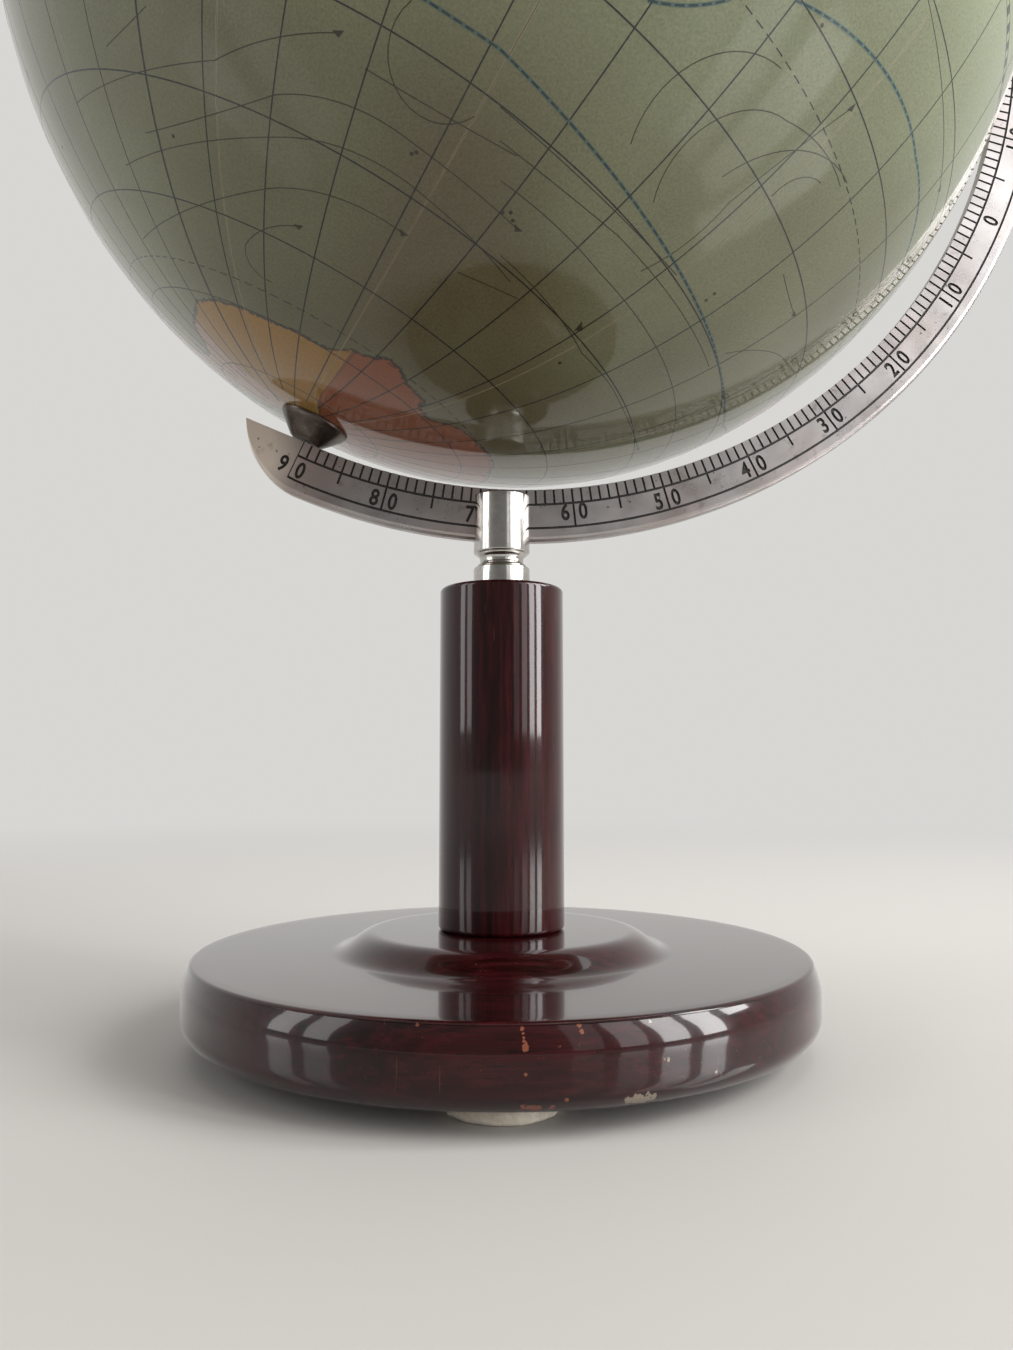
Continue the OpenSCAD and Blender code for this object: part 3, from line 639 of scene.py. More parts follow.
bm = goreMesh()
goreData = bpy.data.meshes.new("gore pattern")
bm.to_mesh(goreData)
bm.free()
flatPoints = np.zeros(len(goreData.vertices) * 3)
goreData.vertices.foreach_get("co", flatPoints)
flatPoints = flatPoints.reshape(-1, 3)
radii = np.linalg.norm(flatPoints, axis=1)
plain = flatPoints / radii[:, None]
longitude = np.arctan2(plain[:, 1], plain[:, 0])
fromAxis = np.hypot(plain[:, 0], plain[:, 1]) * ballRadius / mm
fromSeam = np.minimum(longitude, goreWidth - longitude) * fromAxis  # mm
for i in range(mapLook["gores"]):
    start = mapLook["firstSeam"] + mapLook["firstGore"] + 360 / mapLook["gores"] * i
    mapPoints = plain @ np.array(Matrix.Rotation(math.radians(start), 3, "Z")).T
    land, tints, ice = mapFields(mapPoints)
    tone = np.full(len(land), 1 + paperLook["ageing"] * math.sin(2.4 * i + 0.5))
    mesh = goreData.copy()
    placed = (onGlobe(mapPoints) * radii[:, None]) @ np.array(ballPlace.to_3x3()).T + np.array(ballCentre)
    mesh.vertices.foreach_set("co", placed.ravel())
    values = np.stack([*tints.T, land, fromSeam, tone, ice], -1).astype(np.float32)
    for name, columns in zip(("tintsA", "tintsB", "goreEdge"), np.split(values, 3, axis=1)):
        mesh.attributes.new(name, "FLOAT_VECTOR", "POINT").data.foreach_set("vector", columns.ravel())
    bm = bmesh.new()
    bm.from_mesh(mesh)
    bpy.data.meshes.remove(mesh)
    node = f"map_gore_{i + 1}"
    finishPiece(bm, f"printed_gore_{i + 1}", "ball", [mapPaper], [node], sharpFrom=35)
bpy.data.meshes.remove(goreData)


print("stage 4: printed lines on the ball")
lineLook = {  # mm
    "graticule": {"colour": "#1d262a", "width": 0.22, "lift": 0.014, "zeroWidth": 0.38,
                  "circle": 0.18, "circleDash": (1.5, 0.9),
                  "equator": 0.95, "equatorDash": (1.71, 1.71), "equatorLift": 0.010,
                  "equatorSide": 0.12, "equatorSides": 0.32},  # the last in degrees of latitude
    "current": {"colour": "#33352a", "width": 0.16, "lift": 0.010},
    "routeEdge": {"colour": "#55706b", "width": 0.52, "lift": 0.012},
    "route": {"colour": "#263f45", "width": 0.27, "lift": 0.018, "dash": (1.3, 0.5)},
    "worn": "#666c55", "sink": 0.03, "segment": 1.6,
    "arrow": {"radius": 1.2, "wide": 0.45, "long": 0.8, "thick": 0.05, "sunk": 0.02},
    "island": {"radius": 0.3, "thick": 0.03},
}


def inkMaterial(name, colour):
    # printing ink under the same varnish as the paper, worn thin in places
    wear = (lineLook["worn"], {"size": 0.8, "detail": 3}, (0.4, 0.85, 0, 0.35))
    inkCoat = {**varnish, "Coat Roughness": 0.07, "Coat IOR": 1.4}
    return mottledMaterial(name, inkCoat, colour, [wear], reliefs=[orangePeel])


def lonLatVector(lon, lat):
    return Vector(directions(np.array([lon, lat])))


def addPrism(bm, segments, radius, depth, place):
    # a straight round or many-sided block, its sizes in mm
    bmesh.ops.create_cone(bm, cap_ends=True, segments=segments, radius1=radius * mm, radius2=radius * mm,
                          depth=depth * mm, matrix=place)


def spinLine(bm, axis, start, angle, width, lift, dash=None):
    # a printed line along a circle about axis, from start through angle; dash is (mark, gap) in mm
    top, bottom = ballRadius + lift * mm, ballRadius - lineLook["sink"] * mm
    radius = (start - axis * start.dot(axis)).length * ballRadius
    count = max(1, round(angle * radius / mm / sum(dash))) if dash else 1
    sweep = angle / count * dash[0] / sum(dash) if dash else angle
    line = bmesh.new()
    side = start.cross(axis.cross(start)).normalized() * width * mm / 2
    corners = (start * top + side, start * top - side, start * bottom - side, start * bottom + side)
    verts = [line.verts.new(corner) for corner in corners]
    edges = [line.edges.new((verts[k], verts[(k + 1) % 4])) for k in range(4)]
    steps = max(1, math.ceil(sweep * radius / (lineLook["segment"] * mm)))
    bmesh.ops.spin(line, geom=verts + edges, axis=axis, cent=(0, 0, 0), angle=sweep, steps=steps,
                   use_merge=sweep > fullTurn - 1e-6)
    bmesh.ops.holes_fill(line, edges=openEdges(line), sides=4)
    if count > 1:
        marks = line.verts[:] + line.edges[:] + line.faces[:]
        rest = angle * (count - 1) / count
        bmesh.ops.spin(line, geom=marks, axis=axis, cent=(0, 0, 0), angle=rest, steps=count - 1,
                       use_duplicate=True)
    joinInto(bm, line)


def arcThrough(bm, points, width, lift, dash=None, arrow=False):
    # a line through three places given as longitude and latitude
    a, b, c = [lonLatVector(*p) for p in points]
    axis = (b - a).cross(c - b).normalized()
    u, v = a - axis * a.dot(axis), c - axis * c.dot(axis)
    angle = math.atan2(axis.dot(u.cross(v)), u.dot(v)) % fullTurn
    spinLine(bm, axis, a, angle, width, lift, dash)
    if arrow:
        look = lineLook["arrow"]
        ahead = axis.cross(c).normalized()
        place = Matrix((c.cross(ahead) * look["wide"], ahead * look["long"], c)).transposed().to_4x4()
        place.translation = c * (ballRadius + (lift - look["sunk"]) * mm)
        addPrism(bm, 3, look["radius"], look["thick"], place @ Matrix.Rotation(math.pi / 2, 4, "Z"))


def finishPrint(bm, name, material):
    # turns the print into its place on the ball
    bmesh.ops.recalc_face_normals(bm, faces=bm.faces)
    bmesh.ops.transform(bm, matrix=ballPlace @ toMap.transposed().to_4x4(), verts=bm.verts)
    finishPiece(bm, name, "ball", [material], smooth=False)


def readArcs(text):
    return [readPoints(line) for line in text.split(";") if line.strip()]


northPole = Vector((0, 0, 1))
bm = bmesh.new()
look = lineLook["graticule"]
for lat in [*range(-80, 0, 10), *range(10, 81, 10)]:
    spinLine(bm, northPole, lonLatVector(0, lat), fullTurn, look["width"], look["lift"])
for lon in range(0, 360, 10):
    reach = 86 if lon % 30 == 0 else 82  # every third meridian runs closer to the poles
    width = look["width"] if lon else look["zeroWidth"]
    axis, start = lonLatVector(lon - 90, 0), lonLatVector(lon, -reach)
    spinLine(bm, axis, start, math.radians(2 * reach), width, look["lift"])
for lat in (-66.55, -23.45, 23.45, 66.55):  # tropics and polar circles
    spinLine(bm, northPole, lonLatVector(0, lat), fullTurn, look["circle"], look["lift"], look["circleDash"])
for lat in (-look["equatorSides"], look["equatorSides"]):
    spinLine(bm, northPole, lonLatVector(0, lat), fullTurn, look["equatorSide"], look["lift"])
start = lonLatVector(0, 0)
spinLine(bm, northPole, start, fullTurn, look["equator"], look["equatorLift"], look["equatorDash"])
finishPrint(bm, "graticule_print", inkMaterial("dark blue-grey printing ink", look["colour"]))

# ocean currents: start, middle and end of each, in longitude and latitude; the first ones end in an arrow
arrowCurrents = (
    "11.9,-47.4 19.4,-44.2 26.1,-41.9; 20,-55.9 30.3,-53.6 41.3,-53.1; 15.8,-62.2 19.6,-59.9 26.3,-57.8; "
    "36.8,-46.1 44.6,-46.4 52.9,-46.7; 68.8,-32.9 69.9,-26.3 71.5,-20.6; 81.9,-31.5 85.3,-31.6 "
    "89.5,-31.4; 83.4,-50.3 94,-50.3 108,-49.5; 91.5,-45 104,-45.5 118,-46; -20,-30 -28,-20 -33,-9; "
    "-5,-22 -2,-12 -8,-3; 160,-50 175,-52 190,-54; 210,-54 230,-55 250,-56; 270,-40 282,-30 281,-18; "
    "150,30 165,38 185,41; -78,28 -68,38 -52,42; -40,45 -28,50 -14,55; -30,12 -45,12 -58,14; 200,12 "
    "180,10 160,11; 200,41 218,42 230,36; 236,30 238,22 226,16; 92,6 80,4 66,5; 60,-9 75,-11 92,-12; "
    "128,18 130,26 138,32; -62,-42 -52,-46 -40,-47; 40,-20 37,-27 30,-34; 157,-22 160,-30 158,-37")
plainCurrents = (
    "-20.2,-52.4 -0.5,-49.8 11.9,-47.4; -7.1,-48.3 -2.3,-46.7 1.7,-45; -2.7,-54.7 10.1,-51.9 20.3,-48.1; "
    "20.3,-48.1 29.6,-46.2 36.8,-46.1; -11.4,-57.8 4.2,-55.1 21.9,-51; 21.9,-51 31.1,-49.3 41.9,-49.3; "
    "41.9,-49.3 49.8,-49.9 57.1,-50.7; -19.1,-64.8 6,-60 20,-55.9; 15.8,-62.2 16.6,-64.2 21.8,-65; "
    "29.8,-43.2 37.6,-43.1 47.8,-42.2; 31.9,-37.5 31.1,-39.4 41.9,-41.8; 50.6,-53.1 55.1,-52.3 "
    "59.7,-51.4; 45.4,-42.1 54.4,-41.9 62.4,-41.4; 62.4,-41.4 72,-41.2 89.4,-40.9; 47.8,-44.5 57.8,-44.4 "
    "64.2,-44.6; 64.2,-44.6 75.6,-44.6 91.5,-45; 53.5,-49.4 63.5,-49.8 73.9,-50.7; 73.9,-50.7 78,-50.5 "
    "83.4,-50.3; 56.3,-35.9 55.7,-29.6 62.9,-24; 62.5,-37.6 60.8,-31.2 67,-25.7; 67,-25.7 71.9,-24.3 "
    "77.5,-24; 66,-32.2 68.8,-27.3 77.8,-23.3; 71.9,-29.7 72.4,-27.4 75.2,-25.5; 68,-41.9 69,-37.8 "
    "68.8,-32.9; 43.6,-40.1 55.3,-40.3 71.6,-39.7; 88.5,-39 91.5,-36 98.4,-32.6; -12,-36 -22,-34 -20,-30; "
    "2,-32 -3,-28 -5,-22; -45,-38 -25,-41 -5,-42; 120,-52 140,-52 160,-50; 190,-54 200,-54 210,-54; "
    "250,-56 270,-56 290,-58; 230,-45 255,-46 270,-40; 185,41 193,42 200,41; 230,36 236,34 236,30; -52,42 "
    "-46,43 -40,45; -14,55 -5,60 2,64; -20,15 -25,12 -30,12; 66,5 60,2 56,-4; 92,-12 103,-14 110,-17; "
    "226,16 214,12 200,12; -33,-9 -38,-4 -46,2")
islands = (
    "3.4,-54.4 37.8,-46.9 38.2,-46.6 50.2,-46.4 51.8,-46.4 51,-46 77.5,-37.8 77.6,-38.7 57.6,-20.3 "
    "55.6,-21.1 63.4,-19.7 73.5,-53 -12.3,-37.1 -14.4,-7.9 -5.7,-16 96.8,-12.2 105.6,-10.5 72.4,-7.3 "
    "73.2,1 55.5,-4.6 166.5,-22.2 178,-17.8 -172,-13.8 -149.4,-17.7 -109.4,-27.1 -90.5,-0.5 -157.8,21.4 "
    "-155.5,19.7 144.8,13.4 -28,38.6 -16,28.2 -23.6,15.1 -64.7,32.3 -59,-51.7 -37,-54.4 7,1 33,35 25,35.2 "
    "159,-54.6")
bm = bmesh.new()
look = lineLook["current"]
for text, arrow in ((arrowCurrents, True), (plainCurrents, False)):
    for points in readArcs(text):
        arcThrough(bm, points, look["width"], look["lift"], arrow=arrow)
for lon, lat in readPoints(islands):
    p = lonLatVector(lon, lat)
    place = p.to_track_quat("Z", "Y").to_matrix().to_4x4()
    place.translation = p * ballRadius
    addPrism(bm, 10, lineLook["island"]["radius"], lineLook["island"]["thick"], place)
finishPrint(bm, "current_print", inkMaterial("grey-brown printing ink", look["colour"]))

# ship routes, as dashes on a paler band
routes = (
    "41,-36.9 60,-38.6 85.2,-39.8; 85.2,-39.8 95,-39.9 112,-38.6; 31,-37 36,-37 41,-36.9; 49.6,-28.1 "
    "52.1,-26.8 55.2,-24.1; 55.2,-24.1 56,-21 56,-16; 59.9,-20.4 72.7,-16.5 83.1,-15.7; 83.1,-15.7 96,-16 "
    "110,-20; 112,-38.6 128,-36 145,-41; -20,-34 5,-38 31,-37; -55,-38 -40,-36 -20,-34; 160,-42 190,-46 "
    "230,-45; -70,40 -40,48 -10,50; -75,36 -50,28 -20,14; 140,34 180,45 230,46; 122,30 150,20 200,21; "
    "200,21 220,28 237,34; 45,12 60,10 76,8; 82,5 90,4 96,6")
for part, name, ink in (("routeEdge", "route_band_print", "pale teal printing ink"),
                        ("route", "route_print", "teal printing ink")):
    look = lineLook[part]
    bm = bmesh.new()
    for points in readArcs(routes):
        arcThrough(bm, points, look["width"], look["lift"], look.get("dash"))
    finishPrint(bm, name, inkMaterial(ink, look["colour"]))


print("stage 5: meridian with its engraved scale")
scaleLook = {
    "inner": 102.5, "outer": 112.8, "thickness": 2.6,  # mm
    "lines": (105.5, 110.2), "lineWidth": 0.46, "depth": 0.22,
    "tickWidth": 0.4, "tickMiddle": 104, "halfTick": 107.8,
    # where the front rounds off: how far in from the outer edge, and how far back
    "rounding": ((0.9, 0), (0.45, 0.13), (0.12, 0.38), (0, 0.7)),
    "digitHeight": 3.15, "digitWidth": 0.78, "digitBold": 0.12, "digitGap": 1.8, "digitMiddle": 107.85,
    "capHeight": 0.69,  # of the type's size
    # how far some stamps sit inwards, by angle from the pole
    "stampedHigh": {30: 0.65, 40: -0.2, 10: -0.2, 0: -0.15, 60: 0.2, 80: 0.15},
    # each end is a pointed prow, which starts prowStart degrees before the pole and ends prowSweep past it
    "prowStart": 1.7, "prowSweep": 6.71,
    "prowRadius": 16.2, "prowLift": 0.1, "prowDrop": 0.05, "prowSteps": 14,
    "highlightEnd": (-51.5, -1.3, 111.5),  # X, Y and Z of the scraped end, where a highlight is painted
}
# nickel-plated brass strip: silvery, with a pinkish brown tarnish, and its scraped skin scatters the light;
# its free end carries a painted highlight
stripMetal, tree, shader = newMaterial("dulled nickel strip", {"Metallic": 1.0})
stripColour = paintLayers(tree, "#b7b3b2", [
    ("#9d9795", {"size": 14, "detail": 4, "roughness": 0.55}, (0.3, 0.7)),
    ("#a68e86", {"size": 26, "detail": 2}, (0.45, 0.7, 0, 0.45))])
# the free end is scraped, and painted near-white with less metal as a painted highlight, with dark blotches
# along its edge
where = addNode(tree, "ShaderNodeTexCoord").outputs["Object"]
fromSpot = {"operation": "DISTANCE", 1: [v * mm for v in scaleLook["highlightEnd"]]}
fromEnd = addNode(tree, "ShaderNodeVectorMath", fromSpot, {0: where}).outputs["Value"]
stripColour = paintOver(tree, stripColour, "#ece5d8", fromEnd, 7 * mm, 13 * mm, 0.85, 0)
# less metal towards the free end, so that the painted highlight there shows as bright under any lamp
endHighlightMetallic = addNode(tree, "ShaderNodeMapRange", levels(6 * mm, 18 * mm, 0.15, 0.92), {"Value": fromEnd})
feed(tree, endHighlightMetallic, shader, "Metallic")
stripColour = paintLayers(tree, stripColour, [
    ("#4a423e", {"size": 0.9, "detail": 2}, (0.7, 0.76, 0, 0.75)),
    ("#6a5f57", {"size": 2.6, "detail": 4}, (0.64, 0.74, 0, 0.4))])
feed(tree, stripColour, shader, "Base Color")
worn = {"Value": objectNoise(tree, 5, detail=5)}
feed(tree, addNode(tree, "ShaderNodeMapRange", levels(0.3, 0.7, 0.24, 0.38), worn), shader, "Roughness")
addRelief(tree, shader, {"size": 0.5, "detail": 4}, 0.01, 0.4)
# black filling of the engraving, crumbling in places to dull metal
crumbs = ("#4b413b", {"size": 0.5, "detail": 3}, (0.5, 0.75, 0, 0.6))
blackFilling = mottledMaterial("black engraving wax", {"Roughness": 0.6}, "#16120f", [crumbs])
stripMaterials = [stripMetal, blackFilling]

half = scaleLook["thickness"] / 2
depth = scaleLook["depth"]
halfLine = scaleLook["lineWidth"] / 2
innerLine, outerLine = [(middle - halfLine, middle + halfLine) for middle in scaleLook["lines"]]
halfTick = scaleLook["tickWidth"] / 2 / scaleLook["tickMiddle"]  # radians
nearTick = math.degrees(halfTick) * 1.01


def stripSection(inner, outer):
    # the strip's section as (radius, depth) in mm, with an edge in its front wherever a mark can end
    points = [(r, -half) for r in (inner, *innerLine, scaleLook["halfTick"], *outerLine)]
    points += [(outer - inwards, back - half) for inwards, back in scaleLook["rounding"]]
    points += [(outer, half - 0.2), (outer - 0.2, half), (inner + 0.1, half), (inner, half - 0.1)]
    points.append((inner, depth - half))
    return points


def prowLimits(angle):
    # inner and outer radius of the strip in mm, at an angle past the start of the prow
    inner, outer, curve = scaleLook["inner"], scaleLook["outer"], scaleLook["prowRadius"]
    if angle <= 0:
        return inner, outer
    middle = outer - curve + scaleLook["prowLift"]
    reach = middle * math.cos(angle) + math.sqrt(curve ** 2 - (middle * math.sin(angle)) ** 2)
    return max(inner, (inner - scaleLook["prowDrop"]) / math.cos(angle)), min(outer, reach)


def isMark(radius, degrees):
    # whether a face of the front at this radius in mm and angle from the south pole's line is engraved
    if not -0.01 < degrees < 180.01:
        return False
    if innerLine[0] < radius < innerLine[1] or outerLine[0] < radius < outerLine[1]:
        return True
    nearest = round(degrees)
    if abs(degrees - nearest) >= nearTick:
        return False
    if radius < innerLine[0]:
        return True
    if nearest == 90:  # the 0 of the equator stands there
        return False
    end = outerLine[0] if nearest % 10 == 0 else scaleLook["halfTick"]
    return nearest % 5 == 0 and radius < end


def polar(face):
    # radius in mm, degrees from the south pole's line and depth in mm of a face's middle
    centre = face.calc_center_median()
    degrees = math.degrees(math.atan2(centre.x, -centre.z)) % 360
    return math.hypot(centre.x, centre.z) / mm, degrees, centre.y / mm


def radialNormal(face):
    centre = face.calc_center_median()
    return abs(face.normal.dot(Vector((centre.x, 0, centre.z)).normalized()))


def numeral(text, degrees):
    # one digit as a mesh on the front of the strip, its foot outwards
    look = scaleLook
    curve = bpy.data.curves.new("numeral", "FONT")
    curve.body = text
    curve.size = look["digitHeight"] / look["capHeight"] * mm
    curve.offset = look["digitBold"] * mm
    curve.align_x = "CENTER"
    curve.extrude = depth * mm
    curve.resolution_u = 3
    holder = bpy.data.objects.new("numeral", curve)
    scene.collection.objects.link(holder)
    mesh = bpy.data.meshes.new_from_object(holder.evaluated_get(bpy.context.evaluated_depsgraph_get()))
    bpy.data.objects.remove(holder)
    bpy.data.curves.remove(curve)
    a = math.radians(degrees - 90)
    right = Vector((-math.sin(a), 0, math.cos(a)))
    up = -Vector((math.cos(a), 0, math.sin(a)))
    place = Matrix((right * look["digitWidth"], up, right.cross(up))).transposed().to_4x4()
    stampedHigh = look["stampedHigh"].get(round(degrees / 10) * 10, 0)
    foot = look["digitMiddle"] + look["digitHeight"] / 2 - stampedHigh
    place.translation = -up * foot * mm + Vector((0, -half * mm, 0))
    mesh.transform(place)
    return mesh


# the strip is spun from one tip to the other, with a column of faces wherever a tick will be
bm = bmesh.new()
section = stripSection(scaleLook["inner"], scaleLook["outer"])
verts = [bm.verts.new((0, y * mm, -r * mm)) for r, y in section]  # starts on the south pole's line
loop = verts + [bm.edges.new((verts[k], verts[(k + 1) % len(verts)])) for k in range(len(verts))]
prowSweep, prowSteps = math.radians(scaleLook["prowSweep"]), scaleLook["prowSteps"]
angles = [-prowSweep + prowSweep * i / prowSteps for i in range(prowSteps)] + [0.0, halfTick]
for degree in range(1, 180):
    angles += [math.radians(degree) - halfTick, math.radians(degree) + halfTick]
angles += [math.pi - halfTick, math.pi]
angles += [math.pi + prowSweep * (i + 1) / prowSteps for i in range(prowSteps)]
bmesh.ops.rotate(bm, cent=(0, 0, 0), matrix=Matrix.Rotation(-angles[0], 3, "Y"), verts=verts)
for before, after in zip(angles, angles[1:]):
    made = bmesh.ops.spin(bm, geom=loop, axis=(0, -1, 0), cent=(0, 0, 0), angle=after - before, steps=1)
    loop = made["geom_last"]
for v in bm.verts:
    radius = math.hypot(v.co.x, v.co.z)
    fromPole = math.atan2(v.co.x, abs(v.co.z))  # negative on the prows, past the pole
    low, high = prowLimits(math.radians(scaleLook["prowStart"]) - fromPole)
    share = (radius / mm - scaleLook["inner"]) / (scaleLook["outer"] - scaleLook["inner"])
    scaled = (low + (high - low) * share) * mm / radius
    v.co.x, v.co.z = v.co.x * scaled, v.co.z * scaled
bmesh.ops.remove_doubles(bm, verts=bm.verts, dist=2e-6)
bmesh.ops.holes_fill(bm, edges=openEdges(bm), sides=0)
bmesh.ops.recalc_face_normals(bm, faces=bm.faces)

# lines and ticks are pressed into the front
marks = [f for f in bm.faces if abs(f.normal.y + 1) < 0.01 and isMark(*polar(f)[:2])]
made = bmesh.ops.extrude_face_region(bm, geom=marks)["geom"]
bmesh.ops.translate(bm, vec=(0, depth * mm, 0), verts=[g for g in made if isinstance(g, bmesh.types.BMVert)])
for g in made:
    if isinstance(g, bmesh.types.BMFace):
        g.material_index = 1
bmesh.ops.delete(bm, geom=[f for f in marks if f.is_valid], context="FACES")
bmesh.ops.remove_doubles(bm, verts=bm.verts, dist=1e-6)
thinWalls = []
for f in bm.faces:
    radius, degrees, y = polar(f)
    if abs(f.normal.y) > 0.1 or not -half < y < depth - half:
        continue
    onTick = abs(degrees - round(degrees)) < nearTick and -0.01 < degrees < 180.01
    if radius < scaleLook["inner"] + 0.02 and onTick and radialNormal(f) > 0.9:
        thinWalls.append(f)  # the ticks run out through the inner edge
    elif scaleLook["inner"] + 0.05 < radius < scaleLook["outer"] - 1:
        f.material_index = 1  # the black fills the grooves up their walls too
bmesh.ops.delete(bm, geom=thinWalls, context="FACES")
bmesh.ops.dissolve_degenerate(bm, dist=1e-7, edges=bm.edges)

numerals = bmesh.new()
offset = math.degrees(scaleLook["digitGap"] / scaleLook["digitMiddle"])
for degree in range(0, 181, 10):
    value = abs(degree - 90)
    for text, shift in ((str(value // 10), -offset), ("0", offset)) if value else (("0", 0.0),):
        mesh = numeral(text, degree + shift)
        numerals.from_mesh(mesh)
        bpy.data.meshes.remove(mesh)
bmesh.ops.remove_doubles(numerals, verts=numerals.verts, dist=1e-7)
bmesh.ops.recalc_face_normals(numerals, faces=numerals.faces)
for f in numerals.faces:
    f.material_index = 1
bm = carve(bm, numerals, "DIFFERENCE", stripMaterials, selfMeets=True)
bmesh.ops.transform(bm, matrix=ballPlace, verts=bm.verts)
finishPiece(bm, "scale_meridian", "stand", stripMaterials, ["meridian_arc"], smooth=False)


print("stage 6: metal stem")
# all in mm
collarLook = {
    "foot": 84.5, "top": 88.8, "radius": 5.5, "edge": 0.5, "lip": 4.95, "bore": 2.55,
    "spigot": 4.0, "spigotFoot": 78.5,
}
headLook = {
    "foot": 88.8, "bore": 2.55, "boreTop": 93.1, "radius": 5.5,
    "neck": 4.25, "flare": 4.85, "neckTop": 91.4, "edge": 0.6, "top": 103.8, "crown": 0.9,
}
slotLook = {"half": 1.35, "radius": 112.85}  # half its width, and its floor from the ball's centre
# turned brass under bright nickel: mirror-like, with pits, faint turning rings and a few dull spots
dull = {"size": 5, "detail": 5, "roughness": 0.65}
brightNickel = mottledMaterial(
    "bright nickel plating", {"Metallic": 1.0}, "#cfcdc9",
    [("#a8a29b", dull, (0.4, 0.75)),
     ("#5a5148", {"size": 0.5, "detail": 3, "stretch": (1, 1, 0.6)}, (0.7, 0.75))],
    dulling=(dull, (0.35, 0.7, 0.1, 0.24)),
    reliefs=[({"size": 1.2, "detail": 2, "stretch": (0.02, 0.02, 6)}, 0.004, 0.5)])


def collarOutline(foot, top, radius, edge, lip, bore, spigot, spigotFoot):
    # a ring with a rounded top, and below it the spigot that sits in the post
    points = [(spigot + 0.05, foot), (radius - 0.15, foot), (radius, foot + 0.15)]
    points += [(radius, top - edge), (radius - 0.12, top - 0.2), (lip, top)]
    points += [(bore, top), (bore, spigotFoot), (spigot, spigotFoot), (spigot, foot - 0.3)]
    return points


def headOutline(foot, bore, boreTop, radius, neck, flare, neckTop, edge, top, crown):
    # the neck is a hollow between two rims, and the head a drum with a low crown
    points = [(0, boreTop), (bore, boreTop), (bore, foot), (flare - 0.1, foot), (flare, foot + 0.12)]
    for i in range(9):
        t = i / 8 * 2 - 1
        hollow = math.sqrt(max(0, 1 - t * t * 0.98))
        points.append((flare - (flare - neck) * hollow, (foot + neckTop) / 2 + t * 0.95))
    points += [(flare, neckTop - 0.12), (flare + 0.05, neckTop), (radius - edge + 0.1, neckTop)]
    points += roundedCorner((radius - 0.45, neckTop + 0.45), 0.45, -70, 0, 5)
    points += roundedCorner((radius - 0.35, top - crown - 0.15), 0.35, 0, 75, 5)
    points += [(3.9, top - 0.32), (2.6, top - 0.14), (1.2, top - 0.03), (0, top)]
    return points


bm = lathe(collarOutline(**collarLook), 128)
finishPiece(bm, "nickel_collar", "stand", [brightNickel], ["stem_collar"], sharpFrom=30)
slot = bmesh.new()
place = Matrix.Translation(ballCentre) @ Matrix.Rotation(math.pi / 2, 4, "X")
addPrism(slot, 900, slotLook["radius"], 2 * slotLook["half"], place)
bm = carve(lathe(headOutline(**headLook), 128, closed=False), slot, "DIFFERENCE")
finishPiece(bm, "nickel_head", "stand", [brightNickel], ["stem_head"], sharpFrom=35)


print("stage 7: lacquered wood")
woodLook = {
    "dark": "#140303", "middle": "#2a0809", "light": "#441218", "pore": "#0d0202", "scratch": "#7d5f54",
    "grain": 1.0, "grainLength": 14,  # mm, and how many times longer than wide
    "chip": "#7c4835", "bare": "#8f8676", "bareFrom": 11.5,  # mm; from there on, chips are worn down to grey
    # where lacquer has chipped off the front of the rim: X, Z and reach in mm
    "chips": ((-0.3, 15.0, 0.4), (-0.25, 14.5, 0.3), (-0.2, 14.0, 0.3), (-0.2, 13.5, 0.4), (-0.1, 13.1, 0.7),
              (0.1, 12.7, 0.7), (0, 9.4, 0.35), (-0.3, 4.9, 0.7), (0.4, 4.8, 0.85), (1.1, 4.75, 0.85),
              (1.8, 4.8, 0.7), (3.6, 4.8, 0.65), (5.6, 5.9, 0.5), (7.4, 15.2, 0.45), (7.7, 14.5, 0.5),
              (14.2, 5.0, 1.0), (15.1, 5.1, 1.15), (16.0, 5.0, 1.2), (16.9, 5.1, 1.15), (17.8, 5.1, 0.9),
              (17.5, 15.1, 0.5), (19.3, 10.2, 0.5), (20.0, 10.0, 0.45), (-14.5, 15.3, 0.4), (27.5, 7.2, 0.4)),
    "rimFront": -57.333, "flatten": 0.03,  # Y counts this little, so that chips reach round the rim's curve
}


def chipped(tree, colour, chips):
    # spots near the front of the rim where the lacquer is gone, with ragged outlines
    look = woodLook
    where = addNode(tree, "ShaderNodeTexCoord").outputs["Object"]
    flattened = {"operation": "MULTIPLY", 1: (1, look["flatten"], 1)}
    flat = addNode(tree, "ShaderNodeVectorMath", flattened, {0: where})
    nearest = None
    for x, z, reach in chips:
        fromSpot = {"operation": "DISTANCE", 1: (x * mm, look["rimFront"] * look["flatten"] * mm, z * mm)}
        distance = addNode(tree, "ShaderNodeVectorMath", fromSpot, {0: flat}).outputs["Value"]
        near = addNode(tree, "ShaderNodeMapRange", levels(0, reach * mm, 1, 0), {"Value": distance})
        if nearest is not None:
            near = addNode(tree, "ShaderNodeMath", {"operation": "MAXIMUM"}, {0: nearest, 1: near})
        nearest = near
    ragged = {0: objectNoise(tree, 0.7, detail=4, roughness=0.7), 2: nearest}
    ragged = addNode(tree, "ShaderNodeMath", {"operation": "MULTIPLY_ADD", 1: 2.0}, ragged)
    along = addNode(tree, "ShaderNodeSeparateXYZ", None, {0: where}).outputs["X"]
    wearing = (look["bareFrom"] * mm, (look["bareFrom"] + 2) * mm)
    chipColour = paintOver(tree, look["chip"], look["bare"], along, *wearing)
    return paintOver(tree, colour, chipColour, ragged, 1.38, 1.46)


